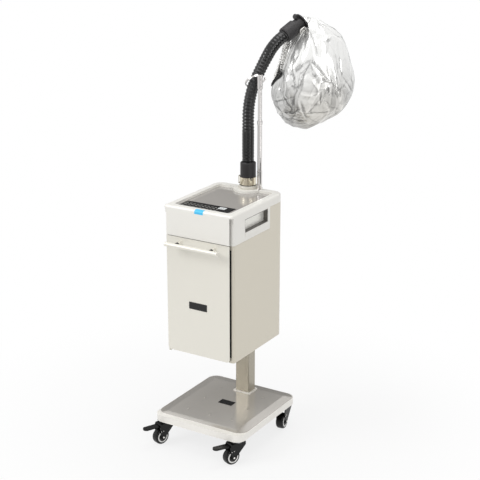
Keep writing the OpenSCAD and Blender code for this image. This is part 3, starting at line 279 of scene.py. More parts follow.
# brushed and anodised aluminium plate at the back of each pocket
pocketPlate = surface("brushed_aluminium_plate", "#F4F3EC", 0.35, metallic=0.4)
# drawn steel tube, brushed and lacquered
columnSteel = surface("lacquered_steel_tube", "#A8A294", 0.26, metallic=0.7)
# pressed steel sprayed with a pale lacquer
baseSteel = surface("pale_lacquered_steel", "#F4F1EB", 0.28, metallic=0.1)
# the same pressing under a grey metallic lacquer with a clear coat; its grey is partly the panel's own and partly
# painted reflection
panelSteel = surface("grey_gloss_steel_and_painted_reflection", "#C6C2BC", 0.17, metallic=0.45, coat=0.2, coatRoughness=0.08)
# steel plate blackened in a hot bath, dull
plateSteel = surface("black_oxide_steel", "#3A3A3C", 0.5, metallic=0.3)
# bent steel with a passivated zinc plating
zincSteel = surface("zinc_plated_steel", "#9A9A9C", 0.38, metallic=1.0)
# screw heads as turned, only wiped
screwSteel = surface("turned_steel", "#A19D97", 0.35, metallic=1.0)
# bright zinc on the casters' rivets and nuts
studSteel = surface("bright_zinc_steel", "#E8E6E2", 0.35, metallic=0.9)
# steel tube polished and chromium plated
chrome = surface("polished_chrome", "#E2DFDD", 0.07, metallic=1.0)
# wire and sleeve plated without a last polish
clipSteel = surface("satin_chrome", "#CFCCCA", 0.12, metallic=1.0)
# brass collar turned and nickel plated
nickel = surface("satin_nickel", "#D9D1BD", 0.12, metallic=1.0)
# bent wire with a thin plating
buckleSteel = surface("plated_steel_wire", "#D6D4D0", 0.3, metallic=0.8)
# glass-filled nylon injected in an etched mould: fine grain about 1.5 mm across
nylon = surface("black_glass_filled_nylon", "#040404", 0.35, ior=1.36, bump=(1.5, 0.01))
# unfilled nylon of the hubs, smooth
hubNylon = surface("dark_moulded_nylon", "#1A1918", 0.35, ior=1.53)
# white ABS ring snapped into each hub, smooth
hubRingAbs = surface("white_snap_ring_abs", "#F2F1EE", 0.25, ior=1.53)
# polyurethane cast round the wheel and turned true
tyreRubber = surface("black_polyurethane_tread", "#040404", 0.4, ior=1.4)
# EPDM extruded as a strip, matt
sealRubber = surface("black_epdm_seal", "#171615", 0.7, ior=1.52)
# polyethylene blown against a corrugated mould, glossy
hosePlastic = surface("black_corrugated_polyethylene", "#060606", 0.16, ior=1.51)
# rubber pressed in a blasted mould: grain about 1 mm across
cuffRubber = surface("black_moulded_rubber", "#201E1F", 0.5, ior=1.48, bump=(1.2, 0.008))
# rubber threads woven with polyester: rows of weave 1 mm apart
elasticTape = surface("black_woven_elastic", "#131313", 0.85, bump=(1, 0.05))
# polypropylene blown into the tank's mould, cloudy
tankPlastic = surface("blow_moulded_polypropylene", "#DCE6E8", 0.4, ior=1.49)
# polypropylene injected for the cap
capPlastic = surface("blue_moulded_polypropylene", "#2F6FA8", 0.4, ior=1.49)
# aluminium cast in a sand mould: grain about 2 mm across
castAlloy = surface("cast_aluminium", "#BFC1C3", 0.45, metallic=1.0, bump=(2, 0.03))
# extruded silicone tube, dull
ductPlastic = surface("grey_silicone_duct", "#8E8C88", 0.5, ior=1.45)
# glass and epoxy laminate under green solder resist
boardLaminate = surface("green_circuit_laminate", "#2E6B45", 0.4)
# nylon injected in a polished mould
rockerPlastic = surface("red_moulded_nylon", "#8C1F1B", 0.3, ior=1.53)
# calendered vinyl film, bare of print
stickerVinyl = surface("blue_vinyl_film", "#4FC3F1", 0.35, ior=1.46)
# ink screened on the strip
inkWhite = surface("pale_screen_ink", "#B9B7B2", 0.5)
# dark segments of the display
inkDark = surface("dark_display_ink", "#3A3D40", 0.5)
# polyester yarn braided to a cord
cordPolyester = surface("grey_braided_polyester", "#8C8A86", 0.6)
# polyester film metallised with aluminium and laid on cloth: bright and crinkled; its grey is painted shading from the
# mesh's attribute
hoodCloth = surface("aluminised_cloth", "#F2F1EE", 0.22, metallic=0.55, bump=(5, 0.05))
hoodPaintedShade = addNode(hoodCloth.node_tree, "ShaderNodeAttribute", {"attribute_name": "clothPaintedShade"})
hoodCloth.node_tree.links.new(hoodPaintedShade.outputs["Color"],
                              hoodCloth.node_tree.nodes["Principled BSDF"].inputs["Base Color"])
# the same cloth gathered by a thread, with painted shade in its puckers: dark blotches 4.5 mm apart
gatherCloth = surface("gathered_aluminised_cloth", "#F2F1EE", 0.3, metallic=0.45, bump=(2, 0.2),
                      shadeBlotches=("#222222", 4.5, 0.54, 0.66))

finishes = {
    "base_tray": baseSteel, "base_plate": plateSteel, "base_screws": screwSteel, "base_badge": stripAcrylic,
    "column": columnSteel, "column_foot": baseSteel, "column_bracket": zincSteel, "caster_mounts": zincSteel,
    "cabinet_floor": champagnePaint, "side_shell": champagnePaint, "back_panel": champagnePaint,
    # the fascia backing's black is partly painted shade, filling the slit beside the front panels
    "back_screws": screwSteel, "upper_shell": whiteAbs, "fascia_backing": blackAbsAndShadeFill, "top_tray": greyAbs,
    "control_strip": stripAcrylic, "display_window": windowAcrylic, "pocket_liners": linerAbs,
    "pocket_plates": pocketPlate, "door_skin": palePaint, "door_liner": blackAbsAndShadeFill, "door_seals": sealRubber,
    "door_hinge_blocks": palePaint, "hinge_brackets": palePaint, "bar_handle": palePaint,
    "door_badge": stripAcrylic, "outlet_flange": flangeAbs, "outlet_collar": nickel, "lower_cuff": cuffRubber,
    "upper_cuff": cuffRubber, "hood_neck": cuffRubber, "pole_lower": chrome, "pole_upper": chrome,
    "hose_clip": clipSteel, "water_tank": tankPlastic, "tank_cap": capPlastic, "boiler": castAlloy,
    "steam_duct": ductPlastic, "control_board": boardLaminate, "fan_frame": nylon, "fan_rotor": nylon,
    "power_inlet": blackAbsAndShadeFill, "rocker": rockerPlastic, "pedal_front_left": nylon, "pedal_front_right": nylon,
}
for corner in casterCorners:
    finishes.update({"fork_" + corner: nylon, "hub_" + corner: hubNylon, "tyre_" + corner: tyreRubber})
for name, material in finishes.items():
    nodes[name].data.materials.clear()
    nodes[name].data.materials.append(material)
print("materials are on the solids")


# corrugated steam hose along its real route; each bend is (radius, degrees), and the ribs are drawn out flatter on the
# stretches (start, rise, end, fall) along it
hose = {"startZ": 0.8463, "rise": 0.1637, "outletY": 0.134, "lean": 65, "endStraight": 0.038, "heldZ": 1.121,
        "bends": [(0.252, 30), (0.8, 5.5), (0.15, 24.5)], "crest": 0.0187, "bore": 0.015, "rib": 0.0023, "ribs": 46,
        "sides": 44, "samples": 8, "boreStep": 12, "pathStep": 6, "routeSteps": 4001, "narrowing": 1.6,
        "flattened": 0.75, "drawn": [(0.02, 0.02, 0.145, 0.03), (0.33, 0.04, 0.455, 0.02)]}
hoseLean = math.radians(hose["lean"])
# the hose lies in the upright plane of the first direction, and the second is square to it
hoseLine = np.array([math.cos(hoseLean), math.sin(hoseLean), 0])
hoseSide = np.array([-math.sin(hoseLean), math.cos(hoseLean), 0])


def runningIntegral(values, places):
    # trapezia added up from the first place
    return np.concatenate([[0], np.cumsum((values[1:] + values[:-1]) / 2 * np.diff(places))])


def hoseRoute(count):
    # arcs joined end to end: each turns the upward direction outwards by its angle on its radius
    lengths = [hose["rise"]] + [r * math.radians(t) for r, t in hose["bends"]] + [hose["endStraight"]]
    total = sum(lengths)
    s = np.linspace(0, total, count)
    turns = [0] + [math.radians(t) / l for (r, t), l in zip(hose["bends"], lengths[1:-1])] + [0]
    edges = np.cumsum([0] + lengths)
    fine = np.linspace(0, total, hose["routeSteps"])
    which = np.clip(np.searchsorted(edges, fine, "right") - 1, 0, len(turns) - 1)
    lean = runningIntegral(np.array(turns)[which], fine)
    out, high = runningIntegral(np.sin(lean), fine), runningIntegral(np.cos(lean), fine)
    lean, out, high = (np.interp(s, fine, values) for values in (lean, out, high))
    up = np.array([0, 0, 1.0])
    path = np.array([0, hose["outletY"], hose["startZ"]]) + out[:, None] * hoseLine + high[:, None] * up
    normal = np.cos(lean)[:, None] * hoseLine - np.sin(lean)[:, None] * up
    return s, path, normal, total


def makeHose():
    s, path, normal, total = hoseRoute(hose["ribs"] * hose["samples"] + 1)
    phase = s / total * (hose["ribs"] + 0.5)
    # rounded crests and narrow roots
    wave = 1 - np.abs(np.sin(math.pi * phase)) ** hose["narrowing"]
    depth = hose["rib"] * (1 - hose["flattened"] * sum(between(s, *stretch) for stretch in hose["drawn"]))
    radius = hose["crest"] - depth * (1 - wave)
    t = around(hose["sides"])
    ring = np.cos(t)[None, :, None] * normal[:, None] + np.sin(t)[None, :, None] * np.cross(hoseLine, [0, 0, 1.0])
    outer = path[:, None] + radius[:, None, None] * ring
    bore = path[::hose["boreStep"], None] + hose["bore"] * ring[::hose["boreStep"]]
    item = gridObject("steamHose", np.concatenate([outer, bore[::-1]]), closeU=True, closeV=True)
    item.data.materials.append(hosePlastic)
    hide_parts("hose")
    # the hoop on the pole holds the hose, so all of the stretch lies between the outlet and the hoop
    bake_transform(item)


makeHose()
print("hose is made")


# hood: a bag of aluminised cloth, open towards the chair and gathered to the neck. Angles are in degrees, and "far",
# "low" and "step" say how much the mouth's edge moves on its far side, below, and where the gather ends
hood = {"radius": 0.120, "pear": 0.025, "out": 0.247, "height": 0.348, "mid": 1.12636, "dir": 215, "lift": 10,
        "half": 27, "last": 180, "far": 5, "low": 5, "step": {"turn": 346, "size": 7, "before": 22, "after": 8},
        "sway": 0.005, "tail": 0.035, "crown": 0.16, "crownFrom": 0.5, "axisRadius": 0.02,
        "lobe": (222, -0.38, 20, 0.010), "rows": 168, "columns": 276, "thickness": 0.0008, "hem": 12,
        "hemSunk": 0.0012, "merge": 1e-6}


def towards(azimuth, height):
    a = math.radians(azimuth)
    flat = math.sqrt(1 - height * height)
    return np.array([math.cos(a) * flat, math.sin(a) * flat, height])


def swelling(u, azimuth, height, spread, amount):
    # a soft swelling about one direction
    return amount * np.exp(-(1 - u @ towards(azimuth, height)) / (1 - math.cos(math.radians(spread))))


def bagPoint(u, raised):
    # pear-shaped bag on a sphere's directions with a lobe under the opening, raised outwards by a height in metres
    z, h = u[..., 2], np.maximum(hood["axisRadius"], np.hypot(u[..., 0], u[..., 1]))
    raised = raised + swelling(u, *hood["lobe"])
    w = np.sqrt(np.maximum(0, 1 - z * z)) * (hood["radius"] - hood["pear"] * z) + raised * h
    c = (hood["out"] + hood["sway"] * z - hood["tail"] * np.maximum(0, -z) ** 3
         - hood["crown"] * np.maximum(0, z - hood["crownFrom"]) ** 2)
    return np.stack([c * hoseLine[0] + w * u[..., 0] / h, hose["outletY"] + c * hoseLine[1] + w * u[..., 1] / h,
                     hood["mid"] + (hood["height"] / 2 + raised) * z], -1)


def mouthDirection(polar, turn):
    # unit direction at a polar angle and a turn about the head opening's axis
    x, y, z = np.cos(polar), np.sin(polar) * np.cos(turn), np.sin(polar) * np.sin(turn)
    lift, d = math.radians(hood["lift"]), math.radians(hood["dir"])
    x, z = x * math.cos(lift) - z * math.sin(lift), x * math.sin(lift) + z * math.cos(lift)
    return np.stack([x * math.cos(d) - y * math.sin(d), x * math.sin(d) + y * math.cos(d), z], -1)


def crumple(directions, count, seed, stretch):
    # flat facets between random points: heights blended over the triangles of the points' hull, and a random painted
    # shade for each
    batch = 4000
    random = np.random.default_rng(seed)
    seeds = unit(random.normal(size=(count, 3)))
    heights = random.uniform(-1, 1, count)
    hull = bmesh.new()
    for place in seeds:
        hull.verts.new(place)
    bmesh.ops.convex_hull(hull, input=hull.verts)
    hull.verts.index_update()
    order = np.array([v.co for v in hull.verts])
    faces = np.array([[v.index for v in f.verts] for f in hull.faces if len(f.verts) == 3])
    hull.free()
    heights = heights[np.argmax(order @ seeds.T, axis=1)]
    shades = random.uniform(-1, 1, len(faces))
    inverse = np.linalg.inv(order[faces].transpose(0, 2, 1)).astype(np.float32)
    flat = unit(directions.reshape(-1, 3) * np.array([1, 1, stretch])).astype(np.float32)
    out, shade = np.zeros(len(flat)), np.zeros(len(flat))
    for start in range(0, len(flat), batch):
        weights = np.einsum("tij,mj->mti", inverse, flat[start:start + batch], optimize=True)
        best = np.argmax(weights.min(-1), axis=1)
        picked = weights[np.arange(len(best)), best].clip(0)
        out[start:start + batch] = (picked * heights[faces[best]]).sum(-1) / picked.sum(-1)
        shade[start:start + batch] = shades[best]
    return out.reshape(directions.shape[:-1]), shade.reshape(directions.shape[:-1])


# neck of the hood: "seat" is where the cloth starts behind the flange, and "slope" how it falls back from there. The
# cuff's stretch is (start, rise, end, fall) along the axis that both share, and the cloth keeps "cuffClear" from it
neck = {"tip": (0.0656, 0.2748, 1.2624), "axis": (0.366, 0.785, 0.5), "flange": 0.029, "seat": 0.050, "slope": 0.9,
        "reach": 0.095, "fade": 0.055, "deepest": -0.08, "freeFrom": 4, "freeOver": 30,
        "cuff": (-0.034, 0.006, 0.026, 0.006), "cuffClear": 0.0258}
neckTip = np.array(neck["tip"])
neckAxis = unit(neck["axis"])
neckDown = np.cross(hoseSide, neckAxis)


def neckFrame(points):
    # distance along the neck's axis, distance from it, and turn about it
    away = points - neckTip
    along = away @ neckAxis
    flat = away - along[..., None] * neckAxis
    return along, np.linalg.norm(flat, axis=-1), np.arctan2(flat @ hoseSide, flat @ neckDown)


def valley(u, first, second, width, amount):
    # a fold between two directions, deepest in its middle and sharp along its bottom
    ends, sharpness = 0.3, 1.5
    a, b = towards(*first), towards(*second)
    t = np.clip((u - a) @ (b - a) / ((b - a) @ (b - a)), 0, 1)
    gap = np.linalg.norm(u - unit(a + t[..., None] * (b - a)), axis=-1) / width
    return -amount * (ends + (1 - ends) * np.sin(math.pi * t)) * np.clip(1 - gap, 0, 1) ** sharpness


# facets of three sizes over directions that wander by (amount, frequency, phase); above "calmFrom" the cloth grows
# calmer. Pleats from the neck are (waves, bend by the facets, amount), and lobes are (azimuth, height, spread, amount)
creases = {"wander": [(0.07, 5.1, 1.3), (0.03, 13.0, 0.4)],
           "sizes": [{"count": 46, "seed": 5, "stretch": 0.7, "height": 0.0085, "calm": 0.35, "shade": 0.4},
                     {"count": 190, "seed": 11, "stretch": 0.85, "height": 0.0062, "calm": 0.55, "shade": 0.45},
                     {"count": 800, "seed": 23, "stretch": 1.0, "height": 0.0020, "calm": 0.6, "shade": 0.15}],
           "calmFrom": -0.1, "calmOver": 0.5, "calmShade": 0.6,
           "pleats": [(13, 3, 1.0), (29, 5, 0.5)], "pleatHeight": 0.0016, "pleatFrom": 0.03, "pleatFade": 0.035,
           "lobes": [(212, -0.25, 26, 0.008), (262, 0.3, 16, 0.006), (22, -0.15, 26, 0.010), (350, -0.78, 16, -0.010),
                     (45, -0.7, 18, -0.008)]}
# single folds of the cloth: (azimuth, height) of both ends, width as an angle, depth
folds = [((288, 0.83), (303, 0.40), 0.11, 0.0075), ((295, 0.27), (323, -0.09), 0.07, 0.0040),
         ((347, 0.0), (19, -0.32), 0.08, 0.0050), ((19, -0.32), (8, 0.02), 0.07, 0.0040),
         ((345, 0.30), (345, 0.0), 0.06, 0.0040), ((258, 0.30), (274, -0.24), 0.09, 0.0050),
         ((310, -0.22), (311, -0.47), 0.05, 0.0035), ((280, -0.30), (308, -0.28), 0.08, -0.0040),
         ((251, -0.28), (266, -0.61), 0.07, 0.0045), ((229, -0.47), (265, -0.36), 0.07, 0.0040),
         ((281, -0.45), (295, -0.75), 0.07, 0.0045), ((298, -0.62), (332, -0.60), 0.08, 0.0045),
         ((338, 0.88), (325, 0.75), 0.05, 0.0030), ((239, -0.81), (296, -0.79), 0.07, 0.0040)]


def hoodRelief(u):
    # height of the cloth over the plain bag, and a painted shade per facet
    _, away, turn = neckFrame(bagPoint(u, 0))
    (wide, slow, first), (narrow, quick, second) = creases["wander"]
    wander = wide * np.sin(slow * u[..., [1, 2, 0]] + first) + narrow * np.sin(quick * u[..., [2, 0, 1]] + second)
    bent = unit(u + wander)
    calm = np.clip((u[..., 2] - creases["calmFrom"]) / creases["calmOver"], 0, 1)
    facets = [crumple(bent, size["count"], size["seed"], size["stretch"]) for size in creases["sizes"]]
    relief = sum(size["height"] * height * (1 - size["calm"] * calm)
                 for size, (height, _) in zip(creases["sizes"], facets))
    pleats = sum(amount * np.sin(waves * turn + swing * height)
                 for (waves, swing, amount), (height, _) in zip(creases["pleats"], facets))
    pleats = pleats * np.exp(-np.clip(away - creases["pleatFrom"], 0, 1) / creases["pleatFade"])
    relief = relief + creases["pleatHeight"] * pleats
    relief = relief + sum(valley(u, *fold) for fold in folds) + sum(swelling(u, *lobe) for lobe in creases["lobes"])
    shade = sum(size["shade"] * facet for size, (_, facet) in zip(creases["sizes"], facets))
    return relief, shade * (1 - creases["calmShade"] * calm)


# painted greys of the cloth, standing for its shading; a pair is (above, how much more below), and "bend" is the
# curvature that counts as a full crease
paintedGreys = {"plain": (0.86, -0.30), "facets": (0.08, 0.24), "valleys": (0.32, 0.12), "ridges": 0.16, "darkest": 0.2,
         "bend": 190, "lowFrom": 0.15, "lowOver": 0.7, "smallest": 1e-4,
         "warm": {"place": (320, -0.75), "power": 4, "green": 0.03, "blue": 0.08}, "blue": 0.985}


def clothPaintedShade(relief, shade, u):
    # painted shading: painted shade, darker and more uneven below and along the valleys, a painted highlight along the
    # ridges, and a warm tint low on one side
    points = bagPoint(u, 0)
    across = np.linalg.norm(np.roll(points, -1, 1) - points, axis=-1) + paintedGreys["smallest"]
    down = np.linalg.norm(np.gradient(points, axis=0), axis=-1) + paintedGreys["smallest"]
    bend = (np.roll(relief, -1, 1) + np.roll(relief, 1, 1) - 2 * relief) / across ** 2
    bend += np.gradient(np.gradient(relief, axis=0), axis=0) / down ** 2
    crease = np.clip(bend / paintedGreys["bend"], -1, 1)
    low = np.clip((paintedGreys["lowFrom"] - u[..., 2]) / paintedGreys["lowOver"], 0, 1)
    plain, facets, valleys = (above + more * low for above, more in (paintedGreys["plain"], paintedGreys["facets"], paintedGreys["valleys"]))
    tone = plain + facets * shade - np.clip(crease, 0, 1) * valleys - np.clip(crease, -1, 0) * paintedGreys["ridges"]
    tone = np.clip(tone, paintedGreys["darkest"], 1.0)
    tint = paintedGreys["warm"]
    warm = np.clip(u @ towards(*tint["place"]), 0, 1) ** tint["power"]
    return np.stack([tone, tone * (1 - tint["green"] * warm), tone * (paintedGreys["blue"] - tint["blue"] * warm),
                     np.ones_like(tone)], -1)


def drawToNeck(points, polar):
    # near the neck the cloth is drawn in behind its flange
    along, away, _ = neckFrame(points)
    seat = neck["seat"] - neck["slope"] * np.clip(away - neck["flange"], 0, 1)
    free = np.clip((np.degrees(polar) - hood["half"] - neck["freeFrom"]) / neck["freeOver"], 0, 1)
    free = free * free * (3 - 2 * free)
    near = np.clip((neck["reach"] - away) / neck["fade"], 0, 1) * (along > neck["deepest"]) * free
    return points + (np.maximum(seat - along, 0) * near)[..., None] * neckAxis


def clearOfCuff(points):
    # the cloth keeps off the upper cuff, which the hood turns about: moved straight out from the shared axis
    along, away, _ = neckFrame(points)
    push = np.maximum(neck["cuffClear"] - away, 0) * between(along, *neck["cuff"])
    outwards = points - neckTip - along[..., None] * neckAxis
    return points + outwards * (push / np.maximum(away, 1e-6))[..., None]


def edgeTilt(turn):
    # the near side and the bottom stand out further than the far side; the edge steps back where the gather ends
    gap = (np.degrees(turn) - hood["step"]["turn"] + 180) % 360 - 180
    step = hood["step"]["size"] * np.exp(-(gap / np.where(gap < 0, hood["step"]["before"], hood["step"]["after"])) ** 2)
    return hood["half"] - hood["far"] * np.cos(turn) + hood["low"] * np.minimum(0, np.sin(turn)) + step


def makeHood(trim):
    turn = around(hood["columns"])
    share = np.linspace(0, 1, hood["rows"])[:, None]
    polar = np.radians(edgeTilt(turn) + share * (hood["last"] - edgeTilt(turn)))
    u = mouthDirection(polar, np.broadcast_to(turn, polar.shape))
    relief, shade = hoodRelief(u)
    # the cloth is drawn in under the elastic
    edge = np.clip((np.degrees(polar) - edgeTilt(turn)) / hood["hem"], 0, 1)
    relief = relief * edge - hood["hemSunk"] * (1 - edge)
    item = gridObject("hoodCloth", clearOfCuff(drawToNeck(bagPoint(u, relief), polar)), closeV=True)
    # the painted shading goes on the mesh as a colour attribute
    tone = item.data.color_attributes.new("clothPaintedShade", "FLOAT_COLOR", "POINT")
    tone.data.foreach_set("color", clothPaintedShade(relief, shade, u).astype(np.float32).ravel())
    area = facesOutwards(item, merge=hood["merge"])
    solid = item.modifiers.new("clothThickness", "SOLIDIFY")
    solid.thickness, solid.offset = hood["thickness"], -1
    piece(item, hoodCloth, "hood", ("hood_bag",))
    # the bag's own area, for the size of its flat sheet
    print("hood cloth area", round(area, 4))


def ringPath(offset, raised, turns):
    # points beside the mouth's edge: an offset in degrees and a height over the bag
    return bagPoint(mouthDirection(np.radians(edgeTilt(turns) + offset), turns), raised)


def makeTrim():
    # woven elastic band over the cloth's edge: a flat oval section with small puckers
    band = {"points": 360, "sides": 12, "offset": 0.6, "halfWidth": 1.9, "raised": 0.0016, "halfThick": 0.0013,
            "puckers": 90, "pucker": 0.0004}
    turn = around(band["points"])
    pucker = band["pucker"] * np.sin(band["puckers"] * turn)
    rows = [ringPath(band["offset"] + band["halfWidth"] * math.cos(a),
                     band["raised"] + band["halfThick"] * math.sin(a) + pucker, turn) for a in around(band["sides"])]
    item = gridObject("hoodElastic", np.stack(rows), closeU=True, closeV=True)
    return piece(item, elasticTape, "hood", ("hood_trim",))


def makeGather():
    # the gathered cloth edge, a puckered roll that hides the elastic on the upper part of the opening; it is fullest
    # beside the neck, and its puckers are waves (frequency, phase, amount) over uneven steps
    gather = {"points": 620, "sides": 22, "first": -16, "last": 250, "fade": 60, "thinnest": 0.02, "taper": 0.5,
              "plain": 0.9, "full": 0.9, "fullAt": 52, "fullSpread": 22, "steps": (0.4, 1.6), "seed": 7,
              "waves": [(0.55, 0, 1.0), (1.3, 1, 0.6)], "waveDepth": 0.32, "waveLean": 0.6, "roughness": 0.24,
              "offset": 0.4, "width": 2.6, "raised": 0.0012, "thick": 0.0052}
    count, sides = gather["points"], gather["sides"]
    turn = np.radians(np.linspace(gather["first"], gather["last"], count))
    fromEnd = np.minimum(np.arange(count), count - 1 - np.arange(count))
    fade = np.clip(fromEnd / gather["fade"], gather["thinnest"], 1) ** gather["taper"]
    fromFull = (np.degrees(turn) - gather["fullAt"]) / gather["fullSpread"]
    swell = gather["plain"] + gather["full"] * np.exp(-fromFull ** 2)
    random = np.random.default_rng(gather["seed"])
    steps = np.cumsum(random.uniform(*gather["steps"], count))
    wave = sum(amount * np.sin(steps * frequency + phase) for frequency, phase, amount in gather["waves"])
    rough = random.normal(size=(sides, count))
    rough = (rough + np.roll(rough, 1, 0) + np.roll(rough, 1, 1)) / 3
    rows = []
    for a, uneven in zip(around(sides), rough):
        size = swell * fade * (1 + gather["waveDepth"] * wave * math.cos(a - gather["waveLean"])
                               + gather["roughness"] * uneven)
        rows.append(ringPath(gather["offset"] + gather["width"] * math.cos(a) * size,
                             gather["raised"] + gather["thick"] * math.sin(a) * size, turn))
    return piece(gridObject("hoodGather", np.stack(rows), closeU=True), gatherCloth, "hood")


def makeNeckClip():
    # small wire buckle under the neck, and the thin cord that draws the cloth's edge
    buckle = {"angle": 300, "along": 0.026, "away": 0.0262, "half": (0.0100, 0.0075), "corner": 0.004, "steps": 8,
              "wire": 0.0021, "bar": 0.0016, "sides": 12}
    cord = {"radius": 0.0009, "points": 40, "sides": 10, "edgeOffset": 2.0, "edgeRaised": 0.006, "edgeTurn": 38.0,
            "sag": 0.004, "sagWay": (0.2, -0.3, -1.0)}
    angle = math.radians(buckle["angle"])
    out = neckDown * math.cos(angle) + hoseSide * math.sin(angle)
    across = hoseSide * math.cos(angle) - neckDown * math.sin(angle)
    centre = neckTip + buckle["along"] * neckAxis + buckle["away"] * out
    halfLong, halfWide = buckle["half"]
    loop = roundedRect(halfLong, halfWide, buckle["corner"], buckle["steps"])
    frameWire = centre + loop[:, :1] * neckAxis + loop[:, 1:] * across
    piece(tube("neckBuckle", frameWire, buckle["wire"], buckle["sides"], closed=True), buckleSteel, "hood")
    bar = centre + np.linspace(-halfWide, halfWide, buckle["steps"])[:, None] * across
    piece(tube("buckleBar", bar, buckle["bar"], buckle["sides"]), buckleSteel, "hood")
    start = centre - halfLong * neckAxis
    end = ringPath(cord["edgeOffset"], cord["edgeRaised"], np.radians(cord["edgeTurn"]))
    t = np.linspace(0, 1, cord["points"])[:, None]
    path = start + (end - start) * t + np.array(cord["sagWay"]) * cord["sag"] * np.sin(math.pi * t)
    item = tube("drawCord", path, cord["radius"], cord["sides"])
    piece(item, cordPolyester, "hood")


makeHood((makeTrim(), makeGather()))
makeNeckClip()
print("hood is made")


def makeBasePanel():
    # gloss lacquer skin over the top of the base and its sloped sides, round the column's foot; the front stays pale.
    # The grey is partly the panel's own and partly painted reflection: the sloped sides and the front are one finish,
    # grey and pale only for what each reflects
    panel = {"half": (0.160, 0.175), "radius": 0.030, "band": 0.030, "top": 0.104, "drop": 0.004, "lift": 0.0003,
             "edgeLift": 0.00002, "foot": (0.0312, 0.0262), "footCorner": 0.002, "footY": 0.12, "front": -0.1585,
             "sides": 0.1588, "back": 0.1738, "corner": 0.034, "steps": 14,
             "insets": (0.030, 0.024, 0.018, 0.012, 0.006, 0.0004)}

    def level(loop, lift):
        # the tray's top falls evenly over its border: inset = distance inside the rounded outline
        x, y = loop.T
        beyond = np.hypot(np.maximum(np.abs(x) - panel["half"][0] + panel["radius"], 0),
                          np.maximum(np.abs(y) - panel["half"][1] + panel["radius"], 0))
        inset = panel["radius"] - beyond
        height = panel["top"] - panel["drop"] * np.clip(1 - inset / panel["band"], 0, 1)
        return np.concatenate([loop, (height + lift)[:, None]], -1)

    def outline(shrink):
        halfY, middle = (panel["back"] - panel["front"]) / 2, (panel["back"] + panel["front"]) / 2
        loop = roundedRect(panel["sides"] - shrink, halfY - shrink, panel["corner"] - shrink, panel["steps"])
        return loop + np.array([0, middle])

    inner = roundedRect(*panel["foot"], panel["footCorner"], panel["steps"]) + np.array([0, panel["footY"]])
    rows = [level(loop, panel["lift"]) for loop in [inner] + [outline(inset) for inset in panel["insets"]]]
    rows = [level(inner, panel["edgeLift"])] + rows + [level(outline(0), panel["edgeLift"])]
    item = gridObject("basePanel", np.stack(rows), closeU=True, closeV=True, smooth=False)
    facesOutwards(item)
    piece(item, panelSteel, "cabinet")


def makeSticker():
    # thin vinyl film folded over the rounded front edge of the rim
    sticker = {"edge": (-0.148, 0.781), "outer": 0.00730, "inner": 0.00704, "lowest": 0.7765, "rearmost": -0.1415,
               "left": -0.010, "width": 0.030, "steps": 12}
    t = np.linspace(math.pi, math.pi / 2, sticker["steps"])
    y, z = sticker["edge"]

    def section(r):
        fold = np.stack([y + r * np.cos(t), z + r * np.sin(t)], -1)
        return np.concatenate([[[y - r, sticker["lowest"]]], fold, [[sticker["rearmost"], z + r]]])

    loop = np.concatenate([section(sticker["outer"]), section(sticker["inner"])[::-1]])
    loop = np.concatenate([np.full((len(loop), 1), sticker["left"]), loop], -1)
    piece(prism("blueSticker", loop, (sticker["width"], 0, 0)), stickerVinyl, "cabinet")


def raisedPad(centre, half, corner, steps, z, levels):
    # a thin pad on a flat face: its outline at each (scale, height), closed to a point in the middle of its top
    loop = roundedRect(*half, corner, steps) + centre
    rings = [np.concatenate([loop * scale + centre * (1 - scale), np.full((len(loop), 1), z + height)], -1)
             for scale, height in levels]
    middle = np.broadcast_to(np.append(centre, z + levels[-1][1]), rings[0].shape)
    return np.stack(rings + [middle]), False, True


def makeMarks():
    # generic key marks on the strip: a ring and two bars to a key, and on each third key a longer bar
    keys = {"count": 10, "first": 0.012, "pitch": 0.0125, "thick": 0.00015, "ringY": 0.046, "ring": (0.0022, 0.0030),
            "ringSides": 20, "upperY": 0.034, "upper": 0.0044, "lowerY": 0.020, "short": 0.0032, "long": 0.0052,
            "halfBar": 0.0009, "corner": 0.0008, "steps": 4}
    (x0, y0, _), (_, _, z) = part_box("control_strip")
    inner, outer = keys["ring"]
    profile = [(inner, 0), (inner, keys["thick"]), (outer, keys["thick"]), (outer, 0)]
    levels = ((1, 0), (1, keys["thick"]), (0.999, keys["thick"]))
    grids = []
    for number in range(keys["count"]):
        cx = x0 + keys["first"] + keys["pitch"] * number
        grids.append((turned(profile, (cx, y0 + keys["ringY"], z), (0, 0, 1), keys["ringSides"]), True, True))
        lower = keys["short"] if number % 3 else keys["long"]
        for row, width in ((keys["upperY"], keys["upper"]), (keys["lowerY"], lower)):
            grids.append(raisedPad(np.array([cx, y0 + row]), (width, keys["halfBar"]), keys["corner"], keys["steps"], z,
                                   levels))
    piece(joinGrids("stripMarks", grids, smooth=False), inkWhite, "cabinet")
    # plain figures on the lit display: three level bars and two upright ones to a figure
    figure = {"count": 3, "first": 0.006, "pitch": 0.006, "rise": 0.004, "long": 0.0016, "wide": 0.0005,
              "sideX": 0.0018, "sideY": 0.002, "corner": 0.0004, "steps": 3, "thick": 0.0001}
    low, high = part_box("display_window")
    level, upright = (figure["long"], figure["wide"]), (figure["wide"], figure["long"])
    bars = [((0, figure["rise"]), level), ((0, 0), level), ((0, -figure["rise"]), level),
            ((figure["sideX"], figure["sideY"]), upright), ((-figure["sideX"], -figure["sideY"]), upright)]
    grids = []
    for number in range(figure["count"]):
        middle = np.array([low[0] + figure["first"] + figure["pitch"] * number, (low[1] + high[1]) / 2])
        grids += [raisedPad(middle + np.array(shift), half, figure["corner"], figure["steps"], high[2],
                            ((1, 0), (1, figure["thick"]))) for shift, half in bars]
    piece(joinGrids("displayFigures", grids, smooth=False), inkDark, "cabinet")


